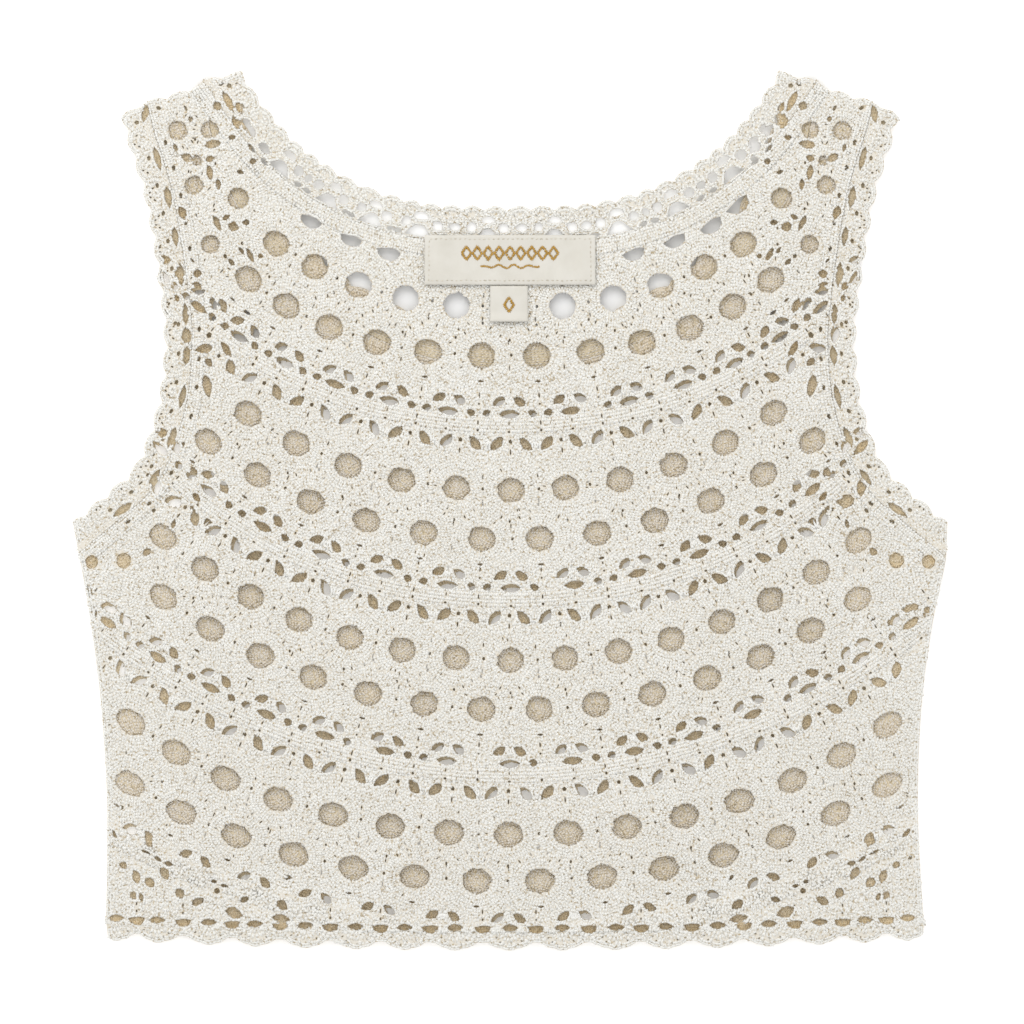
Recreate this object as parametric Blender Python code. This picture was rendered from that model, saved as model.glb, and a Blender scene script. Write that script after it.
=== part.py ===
"""A sleeveless crochet top, laid flat with its upper panel over its lower one.

Each panel is a lace cloth of four bands. A band has two courses of round cells, set half a
pitch apart, and a close-worked tape divides it from the next. The courses sag towards the
middle of the hem. Scalloped edgings follow the neck, the armholes and the hem, and a woven
label with a size tab lies on the upper panel below the neck.

Lengths are in millimetres until a mesh is made. X runs across the top, Y from hem to neck, and
Z up from the surface it lies on. Both halves are alike, so curves are given for X >= 0.
"""

import math

import bmesh
import bpy
from mathutils import Vector
from mathutils.geometry import delaunay_2d_cdt

METRES_PER_MM = 0.001
COLLECTION = "crochet_top"

# Cloth
WALL = 1.8  # thickness of one crochet layer
SEAM_GAP = 0.3  # clearance between neighbouring pieces
TAPE_RISE = 0.6  # how far a close-worked tape stands above the lace
TAPE_SLOPE = 1.0  # width of the slope on each side of a tape
LABEL_WALL = 1.0
LABEL_CLEARANCE = 0.4

# Overall outline: where its main points lie
SHOULDER_INNER = (128.6, 211.0)
SHOULDER_OUTER = (186.8, 188.8)
HEM_LOWEST = -211.0
HEM_RISE = 5.0  # how much higher the hem lies at the side seams
HALF_HEM = 196.0

SHOULDER_RIDGE = (
    (131.6, 210.9), (138.4, 207.4), (141.4, 208.1), (144.8, 207.5), (148.1, 206.0), (153.7, 201.4),
    (156.5, 201.7), (159.4, 201.3), (162.4, 199.8), (164.6, 197.6), (167.0, 198.2), (169.6, 198.3),
    (173.1, 197.0), (175.4, 194.8), (178.8, 193.4), (183.7, 192.0),
)
UPPER_NECK = ((0.0, 146.7), (38.0, 148.3), (70.0, 157.0), (97.4, 173.6), (115.2, 192.0), SHOULDER_INNER)
ARMHOLE = (
    SHOULDER_OUTER, (183.4, 176.5), (174.8, 147.0), (167.6, 100.0), (166.5, 75.0),
    (170.0, 49.0), (180.0, 22.5), (196.0, 6.8), (210.0, -4.8),
)
# Both sides as if on the right. The body lies a little to the right of the straps.
RIGHT_SIDE = (
    (210.0, -4.8), (209.2, -23.5), (205.0, -42.7), (201.6, -61.9), (197.5, -94.0), (195.8, -145.0), (199.0, -206.0),
)
LEFT_SIDE = ((210.0, -4.8), (202.0, -48.5), (196.2, -94.0), (193.3, -145.0), (194.1, -206.0))
LOWER_NECK_DEPTH = 124.0  # the lower panel's neck is a half ellipse below the shoulder points

# Edgings: width from crest to seam, scallop count and depth
NECK_EDGING = {"width": 18.2, "inset": 0.4, "depth": 2.3}
LOWER_NECK_EDGING = {"width": 18.2, "scallops": 25, "depth": 2.6}
ARMHOLE_EDGING = {"width": 13.9, "scallops": 16, "depth": 2.6}
HEM_EDGING = {"width": 9.1, "depth": 4.0}
HEM_LEFT, HEM_RIGHT = -194.1, 199.0
HEM_CRESTS = (
    -189.1, -169.4, -144.5, -122.4, -98.4, -73.9, -50.4, -26.4, 0.0, 25.0, 50.9, 74.9, 99.8, 124.3, 148.8, 170.4, 191.0,
)
SCALLOP_ROUNDNESS = 0.8  # below 1, valleys are narrower than crests
# The crests of the upper neck's uneven scallops, by length along the neck from its middle
NECK_CRESTS = (
    -152.0, -140.6, -127.9, -117.9, -107.5, -99.0, -90.2, -79.6, -67.0, -55.9, -46.6, -37.4, -27.9, -17.7, -7.0,
    4.6, 15.4, 26.6, 36.0, 45.6, 56.2, 65.2, 74.6, 85.2, 94.7, 103.4, 112.2, 120.9, 130.0, 140.4, 152.0,
)
NECK_TAPE = 7.6
ARMHOLE_TAPE = 6.7

# Courses of round cells, from the neck down. A course is Y = height + tilt X + sag X^2 + curl X^4.
# Its middle is at X = shift, and the cell k steps from there is pitch k - ease k^2 along it.
COURSE_FIELDS = ("height", "tilt", "sag", "curl", "shift", "pitch", "ease", "phase", "across", "along", "reach")
COURSES = (
    (97.3, 0.0, 1.840e-3, 4.9e-8, -0.2, 26.0, 0.48, 0.0, 13.3, 12.7, 120.0),
    (74.3, 0.0, 1.388e-3, 6.1e-8, -0.3, 26.8, 0.47, 0.5, 14.0, 12.7, 135.0),
    (9.9, 0.0, 1.787e-3, 3.4e-8, 0.4, 26.1, -0.12, 0.0, 14.0, 12.4, 205.0),
    (-13.7, 0.0, 1.805e-3, 2.1e-8, 0.3, 27.8, -0.08, 0.5, 14.0, 12.4, 205.0),
    (-71.7, -6.5e-3, 1.708e-3, 1.4e-8, 0.1, 26.2, 0.06, 0.0, 13.7, 12.5, 205.0),
    (-95.4, -3.6e-3, 1.626e-3, 1.1e-8, 0.1, 27.6, 0.03, 0.5, 14.1, 12.6, 180.0),
    (-155.3, -1.8e-3, 1.188e-3, 1.3e-8, -0.7, 28.9, 0.20, 0.0, 15.0, 12.4, 205.0),
    (-177.8, 0.0, 1.112e-3, 0.9e-8, -0.7, 30.4, 0.18, 0.5, 15.4, 12.0, 205.0),
)
CELL_STRETCH = 0.09  # share by which a cell at the sides is longer and lower than one in the middle
CELL_STRETCH_REACH = 160.0
# Tapes below the bands, as courses of their own. The last one runs into the hem.
TAPE_FIELDS = ("height", "tilt", "sag", "curl")
TAPES = (
    (40.8, 0.0, 1.875e-3, 1.6e-8),
    (-42.7, 0.0, 1.790e-3, 1.8e-8),
    (-127.0, 0.0, 1.670e-3, 0.3e-8),
    (-203.5, 0.0, 1.170e-3, 0.3e-8),
)
TAPE_HEIGHT = 7.2
# Cells on a shoulder strap, above the courses
STRAP_FIELDS = ("x", "y", "diameter")
STRAP_CELLS = (
    (159.4, 182.6, 9.6), (144.2, 183.0, 8.8), (150.6, 168.4, 5.4),
    (151.7, 156.4, 9.4), (130.4, 150.1, 10.6), (143.8, 128.0, 9.4),
)
CELL_SIDES = 8
CELL_MARGIN = 1.6  # least cloth between a cell and the edge of its panel
SMALLEST_CELL = 8.4
# Each leaf-shaped gap hangs below a tape, two between each pair of cells
LEAF = {"across": 6.6, "along": 4.8, "apart": 10.4, "below": 8.6, "reach": 164.0}
LEAF_LEAN = 0.45  # how far a leaf's inner end is turned up
# Open triangles in the net of the upper neck edging, by length along the neck from its middle
NET = {"across": 12.4, "tip_share": 0.3, "from_crest": 11.4, "to_seam": 1.2}
NET_STATIONS = (-131.5, -107.7, -82.4, -62.7, -41.6, -10.5, 21.3, 49.5, 75.4, 103.5, 134.7)
# Slots in the panel below the neck tape, by length along the neck and distance from its crests
SLOT = {"across": 11.4, "along": 5.8}
SLOT_FIELDS = ("along", "depth")
NECK_SLOTS = ((-84.7, 28.0), (-67.5, 27.6), (-52.0, 28.3), (52.7, 28.9), (69.4, 29.2), (84.4, 30.4), (97.6, 29.4))
# The lower panel's lace lies a third of a cell lower and half a pitch along
LOWER_DROP = 7.8

# The lie of the upper panel
LOFT = 1.4  # rise over the middle of the body
LOFT_EASE = 70.0  # width over which the rise fades out at the sides and shoulders
DIP = 1.5  # fall towards the surface inside the lower panel's neck
# Shares of the way from the neck's middle to the lower panel's neckline
DIP_FROM, DIP_TO = 0.88, 0.66
LOFT_FROM, LOFT_TO = 0.6, 1.1
CREASE_FIELDS = ("x", "y", "turn", "length", "width", "rise")
CREASES = (
    (-120.0, -20.0, 35.0, 75.0, 17.0, 0.9),
    (112.0, -34.0, -38.0, 66.0, 15.0, 0.8),
    (-58.0, -140.0, 78.0, 60.0, 20.0, 0.7),
    (84.0, -150.0, 101.0, 52.0, 18.0, 0.8),
    (8.0, 58.0, 4.0, 70.0, 16.0, 0.6),
)

# Label and size tab
LABEL_SIZE = (82.0, 24.0)
LABEL_TOP = 132.5
TAB_SIZE = (18.2, 17.4)
TAB_CENTRE_X = -0.5

YARN = {"name": "ecru_cotton", "hex": "E4DFD2", "roughness": 0.9}
SATIN = {"name": "cream_satin", "hex": "EFE9DA", "roughness": 0.45}

SAMPLES = 12  # points on each span of a smooth curve
STRIDE = 1.0  # step in which the length along a course is measured


def rows(fields, table):
    """The rows of a table as dictionaries."""
    return [dict(zip(fields, values)) for values in table]


def smooth(t):
    """0 to 1 as t goes from 0 to 1, level at both ends."""
    t = min(1.0, max(0.0, t))
    return t * t * (3.0 - 2.0 * t)


# ---------------------------------------------------------------- curves


def through(points):
    """A Catmull-Rom curve through the points."""
    knots = [Vector(p) for p in points]
    knots = [2 * knots[0] - knots[1], *knots, 2 * knots[-1] - knots[-2]]
    curve = []
    for a, b, c, d in zip(knots, knots[1:], knots[2:], knots[3:]):
        pull, bend = 2 * a - 5 * b + 4 * c - d, 3 * b - a - 3 * c + d
        for i in range(SAMPLES):
            t = i / SAMPLES
            curve.append(0.5 * (2 * b + (c - a) * t + pull * t**2 + bend * t**3))
    return [*curve, knots[-2]]


def mirrored(points):
    """The points of the right half followed from the left end to the right end."""
    return [Vector((-p.x, p.y)) for p in reversed(points[1:])] + list(points)


def half_ellipse(half_width, top, depth, count=60):
    """The lower half of an ellipse, from its left end to its right end."""
    turns = (math.pi * i / count for i in range(count + 1))
    return [Vector((-half_width * math.cos(t), top - depth * math.sin(t))) for t in turns]


def lengths(curve):
    """How far along the curve each of its points lies."""
    found = [0.0]
    for a, b in zip(curve, curve[1:]):
        found.append(found[-1] + (b - a).length)
    return found


def resampled(curve, count):
    """(point, normal) at count + 1 even steps. The normal points to the right of the travel."""
    along = lengths(curve)
    found, span = [], 0
    for i in range(count + 1):
        goal = along[-1] * i / count
        while span < len(curve) - 2 and along[span + 1] < goal:
            span += 1
        a, b = curve[span], curve[span + 1]
        way = (b - a).normalized()
        found.append((a + way * (goal - along[span]), Vector((way.y, -way.x))))
    return found


def offset(curve, distance, count):
    """The curve moved to the right of its travel."""
    return [point + normal * distance for point, normal in resampled(curve, count)]


def scalloped(curve, scallops, depth, points_each=4):
    """The curve with its valleys pressed in by the depth. It starts and ends on a crest."""
    found = []
    for i, (point, normal) in enumerate(resampled(curve, scallops * points_each)):
        swell = abs(math.cos(math.pi * i / points_each))
        found.append(point + normal * depth * (1.0 - swell**SCALLOP_ROUNDNESS))
    return found


def unevenly_scalloped(curve, crests, depth, inset, points_each=4):
    """The curve moved in by the inset, with a valley between each pair of crests.

    The crests are lengths along the curve, counted from its middle.
    """
    steps = resampled(curve, round(lengths(curve)[-1] / STRIDE))
    stride = lengths(curve)[-1] / (len(steps) - 1)
    found = []
    for here, ahead in zip(crests, [*crests[1:], crests[-1]]):
        for i in range(points_each if ahead > here else 1):
            share = i / points_each
            swell = abs(math.cos(math.pi * share))
            step = (here + (ahead - here) * share) / stride + (len(steps) - 1) / 2
            point, normal = steps[min(len(steps) - 1, max(0, round(step)))]
            found.append(point + normal * (inset + depth * (1.0 - swell**SCALLOP_ROUNDNESS)))
    return found


def distance(curve, point):
    """The distance from the point to the curve."""
    best = math.inf
    for a, b in zip(curve, curve[1:]):
        way = b - a
        t = max(0.0, min(1.0, (point - a).dot(way) / way.length_squared))
        best = min(best, (point - a - way * t).length)
    return best


def trimmed(curve, first, last, reach=40.0):
    """The curve run on at both ends, then cut where it crosses the first and the last line."""
    curve = [
        curve[0] + (curve[0] - curve[1]).normalized() * reach,
        *curve,
        curve[-1] + (curve[-1] - curve[-2]).normalized() * reach,
    ]

    def crossing(points, line):
        middle = len(points) // 2
        for i in range(middle, 0, -1):
            for c, d in zip(line, line[1:]):
                a, b = points[i], points[i - 1]
                area = (b - a).cross(d - c)
                if abs(area) < 1e-9:
                    continue
                t, u = (c - a).cross(d - c) / area, (c - a).cross(b - a) / area
                if 0 <= t <= 1 and 0 <= u <= 1:
                    return [a + (b - a) * t, *points[i:]]
        return points

    curve = crossing(curve, first)
    return list(reversed(crossing(list(reversed(curve)), last)))


def flipped(curve):
    """The curve on the left half, with its travel reversed."""
    return [Vector((-p.x, p.y)) for p in reversed(curve)]


def run_on(curve, reach=15.0):
    """The curve with a straight piece added at each end."""
    return [
        curve[0] + (curve[0] - curve[1]).normalized() * reach,
        *curve,
        curve[-1] + (curve[-1] - curve[-2]).normalized() * reach,
    ]


def band(outer, inner):
    """The outline between two curves that run the same way."""
    return [*outer, *reversed(inner)]


# ---------------------------------------------------------------- outlines

UPPER_NECK_CURVE = mirrored(through(UPPER_NECK))
LOWER_NECK_CURVE = half_ellipse(SHOULDER_INNER[0], SHOULDER_INNER[1], LOWER_NECK_DEPTH)
ARMHOLE_CURVE = list(reversed(through(ARMHOLE)))  # right armhole, underarm to shoulder
RIGHT_SIDE_CURVE = through(RIGHT_SIDE)
LEFT_SIDE_CURVE = through(LEFT_SIDE)
SHOULDER_LINE = [Vector(p) for p in (SHOULDER_INNER, *SHOULDER_RIDGE, SHOULDER_OUTER)]


def ridge_between(inner_x, outer_x):
    """The right shoulder's ridge between two seams, from the outer one to the inner one."""
    return [p for p in reversed(SHOULDER_LINE) if inner_x + 1.0 < p.x < outer_x - 1.0]


def hem_curve(inwards, count):
    """The hem from right to left, moved up into the cloth."""
    xs = [HEM_RIGHT + (HEM_LEFT - HEM_RIGHT) * i / count for i in range(count + 1)]
    return [Vector((x, HEM_LOWEST + HEM_RISE * (x / HALF_HEM) ** 2 + inwards)) for x in xs]


def scalloped_hem():
    """The hem from right to left."""
    steps = 6
    before, after = 2 * HEM_CRESTS[0] - HEM_CRESTS[1], 2 * HEM_CRESTS[-1] - HEM_CRESTS[-2]
    crests = (before, *HEM_CRESTS, after)
    found = []
    for first, last in zip(crests, crests[1:]):
        for step in range(steps):
            x = first + (last - first) * step / steps
            swell = abs(math.cos(math.pi * step / steps)) ** SCALLOP_ROUNDNESS
            y = HEM_LOWEST + HEM_RISE * (x / HALF_HEM) ** 2 + HEM_EDGING["depth"] * (1 - swell)
            if HEM_LEFT < x < HEM_RIGHT:
                found.append(Vector((x, y)))
    return list(reversed(found))


def panel_half(side_curve, neck_end_x, hem_seam):
    """A panel's ridge, armhole and side on one half, as if on the right."""
    seam = ARMHOLE_EDGING["width"] + SEAM_GAP / 2
    armhole = trimmed(offset(ARMHOLE_CURVE, -seam, 20), run_on(side_curve), run_on(SHOULDER_LINE))
    side = trimmed(
        side_curve[:: SAMPLES // 3],
        offset(run_on(ARMHOLE_CURVE), -seam, 40),
        list(reversed(run_on(hem_seam))),
    )
    return [*reversed(ridge_between(neck_end_x, armhole[-1].x)), *reversed(armhole), *side[1:]]


def panel_outline(neck_curve):
    """A panel inside its edgings, clockwise from the left shoulder."""
    shoulder_right = run_on(SHOULDER_LINE)
    hem_seam = hem_curve(HEM_EDGING["width"] + SEAM_GAP / 2, 24)
    neck = trimmed(
        offset(neck_curve, NECK_EDGING["width"] + SEAM_GAP / 2, 28), flipped(shoulder_right), shoulder_right
    )
    right = panel_half(RIGHT_SIDE_CURVE, neck[-1].x, hem_seam)
    left = panel_half(LEFT_SIDE_CURVE, -neck[0].x, flipped(hem_seam))
    return [*neck, *right, *hem_seam[1:-1], *flipped(left)]


def neck_edging_outline(neck_curve, edging, scallops):
    """A neck's edging between its scallops and the offset that is its seam."""
    shoulders = flipped(run_on(SHOULDER_LINE)), run_on(SHOULDER_LINE)
    outer = trimmed(scallops, *shoulders)
    inner = trimmed(offset(neck_curve, edging["width"] - SEAM_GAP / 2, 28), *shoulders)
    ridge = ridge_between(outer[-1].x, inner[-1].x)
    return [*inner, *ridge, *reversed(outer), *flipped(ridge)]


def armhole_edging_outline(side_curve):
    """An armhole's edging as if on the right, from the underarm to the shoulder."""
    ends = run_on(side_curve), run_on(SHOULDER_LINE)
    outer = trimmed(
        scalloped(ARMHOLE_CURVE, ARMHOLE_EDGING["scallops"], -ARMHOLE_EDGING["depth"]), *ends
    )
    inner = trimmed(offset(ARMHOLE_CURVE, SEAM_GAP / 2 - ARMHOLE_EDGING["width"], 20), *ends)
    return band([*outer, *ridge_between(inner[-1].x, outer[-1].x)], inner)


def hem_edging_outline():
    seam = hem_curve(HEM_EDGING["width"] - SEAM_GAP / 2, 24)
    return band(list(reversed(scalloped_hem())), list(reversed(seam)))


# ---------------------------------------------------------------- lace


def course_point(course, x):
    """A point on a course with its unit tangent."""
    y = course["height"] + course["tilt"] * x + course["sag"] * x**2 + course["curl"] * x**4
    slope = course["tilt"] + 2 * course["sag"] * x + 4 * course["curl"] * x**3
    return Vector((x, y)), Vector((1.0, slope)).normalized()


def course_steps(course, phase, reach=200.0):
    """(point, tangent) at each step from the phase's start, out to both sides of the middle."""
    found = []
    for side in (-1, 1):
        x, walked, step = course["shift"], 0.0, phase
        while abs(x) < reach:
            target = course["pitch"] * step - course["ease"] * step**2
            while walked < target:
                stride = min(target - walked, STRIDE)
                x += side * stride * course_point(course, x)[1].x
                walked += stride
            if abs(x) < reach and (step > 0 or side > 0):
                found.append(course_point(course, x))
            step += 1
    return sorted(found, key=lambda pair: pair[0].x)


def oval(centre, tangent, across, along, sides=CELL_SIDES):
    """A counter-clockwise oval, its first axis on the tangent."""
    normal = Vector((-tangent.y, tangent.x))
    turns = (2 * math.pi * (i + 0.5) / sides for i in range(sides))
    return [
        centre + tangent * (0.5 * across * math.cos(t)) + normal * (0.5 * along * math.sin(t))
        for t in turns
    ]


def inside(outline, point):
    """Whether the point lies within the closed outline."""
    crossings = 0
    for a, b in zip(outline, [*outline[1:], outline[0]]):
        if (a.y > point.y) != (b.y > point.y):
            if point.x < a.x + (b.x - a.x) * (point.y - a.y) / (b.y - a.y):
                crossings += 1
    return crossings % 2 == 1


def fitted_cells(outline, neck_curve, phase_shift, drop):
    """The round cells that the panel has room for, those at its edges made smaller.

    phase_shift moves them along their courses, in pitches, and drop moves them down across them.
    """
    edge = [*outline, outline[0]]
    found = []
    for course in rows(COURSE_FIELDS, COURSES):
        phase = (course["phase"] + phase_shift) % 1.0
        for point, tangent in course_steps(course, phase, course["reach"]):
            point = point + Vector((tangent.y, -tangent.x)) * drop
            mirror = Vector((abs(point.x), point.y))
            room = 2 * min(
                distance(edge, point) - CELL_MARGIN,
                distance(neck_curve, point) - NECK_EDGING["width"] - NECK_TAPE,
                distance(ARMHOLE_CURVE, mirror) - ARMHOLE_EDGING["width"] - ARMHOLE_TAPE,
            )
            if inside(outline, point) and room > SMALLEST_CELL:
                stretch = CELL_STRETCH * (point.x / CELL_STRETCH_REACH) ** 2
                across, along = course["across"] * (1 + stretch), course["along"] * (1 - stretch)
                found.append(oval(point, tangent, min(across, room), min(along, room)))
    return found


def strap_cells():
    """The cells of both shoulder straps."""
    return [
        oval(Vector((side * cell["x"], cell["y"])), Vector((1.0, 0.0)), cell["diameter"], cell["diameter"])
        for cell in rows(STRAP_FIELDS, STRAP_CELLS)
        for side in (-1, 1)
    ]


def foot(course, point, reach=60):
    """The nearest point of the course to this point, with its tangent."""
    places = (course_point(course, point.x + step) for step in range(-reach, reach + 1))
    return min(places, key=lambda place: (place[0] - point).length)


def leaf_gaps(outline):
    """The pairs of leaf-shaped gaps below each tape, between the cells of the next course."""
    edge = [*outline, outline[0]]
    found = []
    below = rows(COURSE_FIELDS, COURSES)[2::2]
    for tape, course in zip(rows(TAPE_FIELDS, TAPES), below):
        for between, _ in course_steps(course, 0.5):
            point, tangent = foot(tape, between)
            down = Vector((tangent.y, -tangent.x))
            for side in (-1, 1):
                centre = point + down * LEAF["below"] + tangent * (side * LEAF["apart"] / 2)
                if not inside(outline, centre) or abs(centre.x) > LEAF["reach"]:
                    continue
                if distance(edge, centre) > LEAF["across"]:
                    lean = (tangent - down * (LEAF_LEAN * side)).normalized()
                    found.append(oval(centre, lean, LEAF["across"], LEAF["along"], 4))
    return found


def net_gaps(neck_curve, edging):
    """The open triangles along a neck edging, wide towards the seam."""
    base = edging["width"] - NET["to_seam"]
    half = NET["across"] / 2
    tip = half * NET["tip_share"]
    steps = resampled(neck_curve, round(lengths(neck_curve)[-1] / STRIDE))
    found = []
    for along in NET_STATIONS:
        point, normal = steps[len(steps) // 2 + round(along / STRIDE)]
        way = Vector((-normal.y, normal.x))
        low, high = point + normal * base, point + normal * NET["from_crest"]
        found.append([low - way * half, high - way * tip, high + way * tip, low + way * half])
    return found


def neck_slots(neck_curve):
    """The long open slots below the neck tape."""
    steps = resampled(neck_curve, round(lengths(neck_curve)[-1] / STRIDE))
    found = []
    for slot in rows(SLOT_FIELDS, NECK_SLOTS):
        point, normal = steps[len(steps) // 2 + round(slot["along"] / STRIDE)]
        centre, way = point + normal * slot["depth"], Vector((-normal.y, normal.x))
        found.append(oval(centre, way, SLOT["across"], SLOT["along"], 6))
    return found


def tape_lines(neck_curve):
    """The crests and feet of the slopes beside each tape, as open lines."""
    found = []
    half = TAPE_HEIGHT / 2
    for tape in rows(TAPE_FIELDS, TAPES):
        steps = course_steps({**tape, "shift": 0.0, "pitch": 18.0, "ease": 0.0}, 0.0)
        for rise in (-half, TAPE_SLOPE - half, half - TAPE_SLOPE, half):
            found.append([p + Vector((-t.y, t.x)) * rise for p, t in steps])
    for inset in (0.0, TAPE_SLOPE):
        found.append(offset(neck_curve, NECK_EDGING["width"] + NECK_TAPE - inset, 22))
        arm = offset(ARMHOLE_CURVE, inset - ARMHOLE_EDGING["width"] - ARMHOLE_TAPE, 14)
        found += [arm, flipped(arm)]
    return found


# ---------------------------------------------------------------- heights


def tape_share(point, neck_curve):
    """1 on a tape, 0 on the lace, between them on a tape's slope."""
    share = 0.0
    for tape in rows(TAPE_FIELDS, TAPES):
        on_tape, tangent = course_point(tape, point.x)
        away = abs(point.y - on_tape.y) * tangent.x
        share = max(share, (TAPE_HEIGHT / 2 - away) / TAPE_SLOPE)
    neck = NECK_EDGING["width"] + NECK_TAPE - distance(neck_curve, point)
    mirror = Vector((abs(point.x), point.y))
    arm = ARMHOLE_EDGING["width"] + ARMHOLE_TAPE - distance(ARMHOLE_CURVE, mirror)
    return min(1.0, max(share, neck / TAPE_SLOPE, arm / TAPE_SLOPE, 0.0))


def crease_height(x, y):
    """Soft ridges, each fading out along and across its length."""
    height = 0.0
    for crease in rows(CREASE_FIELDS, CREASES):
        turn = math.radians(crease["turn"])
        dx, dy = x - crease["x"], y - crease["y"]
        along = dx * math.cos(turn) + dy * math.sin(turn)
        across = dy * math.cos(turn) - dx * math.sin(turn)
        away = (along / crease["length"]) ** 2 + (across / crease["width"]) ** 2
        height += crease["rise"] * math.exp(-away)
    return height


def lie(x, y):
    """How high the upper panel's underside lies above its seams."""
    within_sides = smooth((HALF_HEM - abs(x)) / LOFT_EASE)
    below_shoulders = smooth((SHOULDER_INNER[1] - y) / LOFT_EASE)
    scoop = math.hypot(x / SHOULDER_INNER[0], (SHOULDER_INNER[1] - y) / LOWER_NECK_DEPTH)
    lift = (LOFT + crease_height(x, y)) * within_sides * below_shoulders
    lift *= smooth((scoop - LOFT_FROM) / (LOFT_TO - LOFT_FROM))
    return lift - DIP * smooth((DIP_FROM - scoop) / (DIP_FROM - DIP_TO))


def upper_underside(p):
    return WALL + SEAM_GAP + lie(p.x, p.y)


# ---------------------------------------------------------------- meshes


def colour(hex_code):
    """A linear colour from an sRGB code."""
    channels = (int(hex_code[i : i + 2], 16) / 255 for i in (0, 2, 4))
    return [*(c / 12.92 if c <= 0.04045 else ((c + 0.055) / 1.055) ** 2.4 for c in channels), 1.0]


def finish(spec):
    """The material of this name, made once."""
    material = bpy.data.materials.get(spec["name"])
    if material is None:
        material = bpy.data.materials.new(spec["name"])
        material.use_nodes = True
        shader = material.node_tree.nodes["Principled BSDF"]
        shader.inputs["Base Color"].default_value = colour(spec["hex"])
        shader.inputs["Roughness"].default_value = spec["roughness"]
        shader.inputs["Metallic"].default_value = 0.0
    return material


def cloth(name, outline, underside, top, spec, holes=(), lines=()):
    """A cloth piece: the outline less its holes, filled between its underside and its top.

    Blender's constrained Delaunay fill makes the flat sheet. The lines are kept as edges in it,
    so that the relief has points where its slopes begin and end. The sheet is then extruded, and
    each point goes to the height that underside or top gives for its place.
    """
    points, edges, faces = [], [], []
    for loop in map(counter_clockwise, (outline, *holes)):
        faces.append(list(range(len(points), len(points) + len(loop))))
        points += loop
    for line in lines:
        start = len(points)
        points += line
        edges += [(i, i + 1) for i in range(start, len(points) - 1)]
    flat, _, triangles, _, _, sources = delaunay_2d_cdt(points, edges, faces, 0, 1e-4)

    sheet = bmesh.new()
    corners = [sheet.verts.new((p.x, p.y, 0.0)) for p in flat]
    for triangle, source in zip(triangles, sources):
        if 0 in source and len(source) == 1:
            sheet.faces.new([corners[i] for i in triangle])
    bmesh.ops.delete(sheet, geom=[v for v in sheet.verts if not v.link_faces], context="VERTS")
    raised = bmesh.ops.extrude_face_region(sheet, geom=sheet.faces[:])["geom"]
    upper = {v for v in raised if isinstance(v, bmesh.types.BMVert)}
    for vertex in sheet.verts:
        vertex.co.z = top(vertex.co) if vertex in upper else underside(vertex.co)
    bmesh.ops.scale(sheet, vec=(METRES_PER_MM,) * 3, verts=sheet.verts)
    bmesh.ops.recalc_face_normals(sheet, faces=sheet.faces)

    mesh = bpy.data.meshes.new(name)
    sheet.to_mesh(mesh)
    sheet.free()
    mesh.materials.append(finish(spec))
    piece = bpy.data.objects.new(name, mesh)
    bpy.data.collections[COLLECTION].objects.link(piece)
    return piece


def counter_clockwise(loop):
    doubled_area = sum(a.cross(b) for a, b in zip(loop, [*loop[1:], loop[0]]))
    return list(loop) if doubled_area > 0 else list(reversed(loop))


def rectangle(centre_x, top, size, columns):
    """A counter-clockwise rectangle with extra points along its two long sides."""
    xs = [centre_x + size[0] * (i / columns - 0.5) for i in range(columns + 1)]
    bottom = [Vector((x, top - size[1])) for x in xs]
    return bottom + [Vector((x, top)) for x in reversed(xs)]


def lower_layer():
    """The panel that lies on the surface, with its edgings. Its underside is flat."""
    floor, top = (lambda p: 0.0), (lambda p: WALL)
    outline = panel_outline(LOWER_NECK_CURVE)
    cells = fitted_cells(outline, LOWER_NECK_CURVE, 0.5, LOWER_DROP)
    cloth("back_panel", outline, floor, top, YARN, cells)
    scallops = scalloped(LOWER_NECK_CURVE, LOWER_NECK_EDGING["scallops"], LOWER_NECK_EDGING["depth"])
    neck = neck_edging_outline(LOWER_NECK_CURVE, LOWER_NECK_EDGING, scallops)
    cloth("back_neck_edging", neck, floor, top, YARN)
    right, left = armhole_edging_outline(RIGHT_SIDE_CURVE), armhole_edging_outline(LEFT_SIDE_CURVE)
    cloth("back_armhole_edging_right", right, floor, top, YARN)
    cloth("back_armhole_edging_left", flipped(left), floor, top, YARN)
    cloth("back_hem_edging", hem_edging_outline(), floor, top, YARN)


def upper_layer():
    """The panel that faces up, with its edgings. Its tapes stand above the lace."""

    def plain_top(p):
        return upper_underside(p) + WALL

    def panel_top(p):
        return plain_top(p) + TAPE_RISE * tape_share(Vector((p.x, p.y)), UPPER_NECK_CURVE)

    outline = panel_outline(UPPER_NECK_CURVE)
    gaps = fitted_cells(outline, UPPER_NECK_CURVE, 0.0, 0.0) + strap_cells() + leaf_gaps(outline)
    gaps += neck_slots(UPPER_NECK_CURVE)
    cloth("front_panel", outline, upper_underside, panel_top, YARN, gaps, tape_lines(UPPER_NECK_CURVE))
    scallops = unevenly_scalloped(
        UPPER_NECK_CURVE, NECK_CRESTS, NECK_EDGING["depth"], NECK_EDGING["inset"]
    )
    cloth(
        "front_neck_edging",
        neck_edging_outline(UPPER_NECK_CURVE, NECK_EDGING, scallops),
        upper_underside,
        plain_top,
        YARN,
        net_gaps(UPPER_NECK_CURVE, NECK_EDGING),
    )
    right, left = armhole_edging_outline(RIGHT_SIDE_CURVE), armhole_edging_outline(LEFT_SIDE_CURVE)
    cloth("front_armhole_edging_right", right, upper_underside, plain_top, YARN)
    cloth("front_armhole_edging_left", flipped(left), upper_underside, plain_top, YARN)
    cloth("front_hem_edging", hem_edging_outline(), upper_underside, plain_top, YARN)


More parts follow.
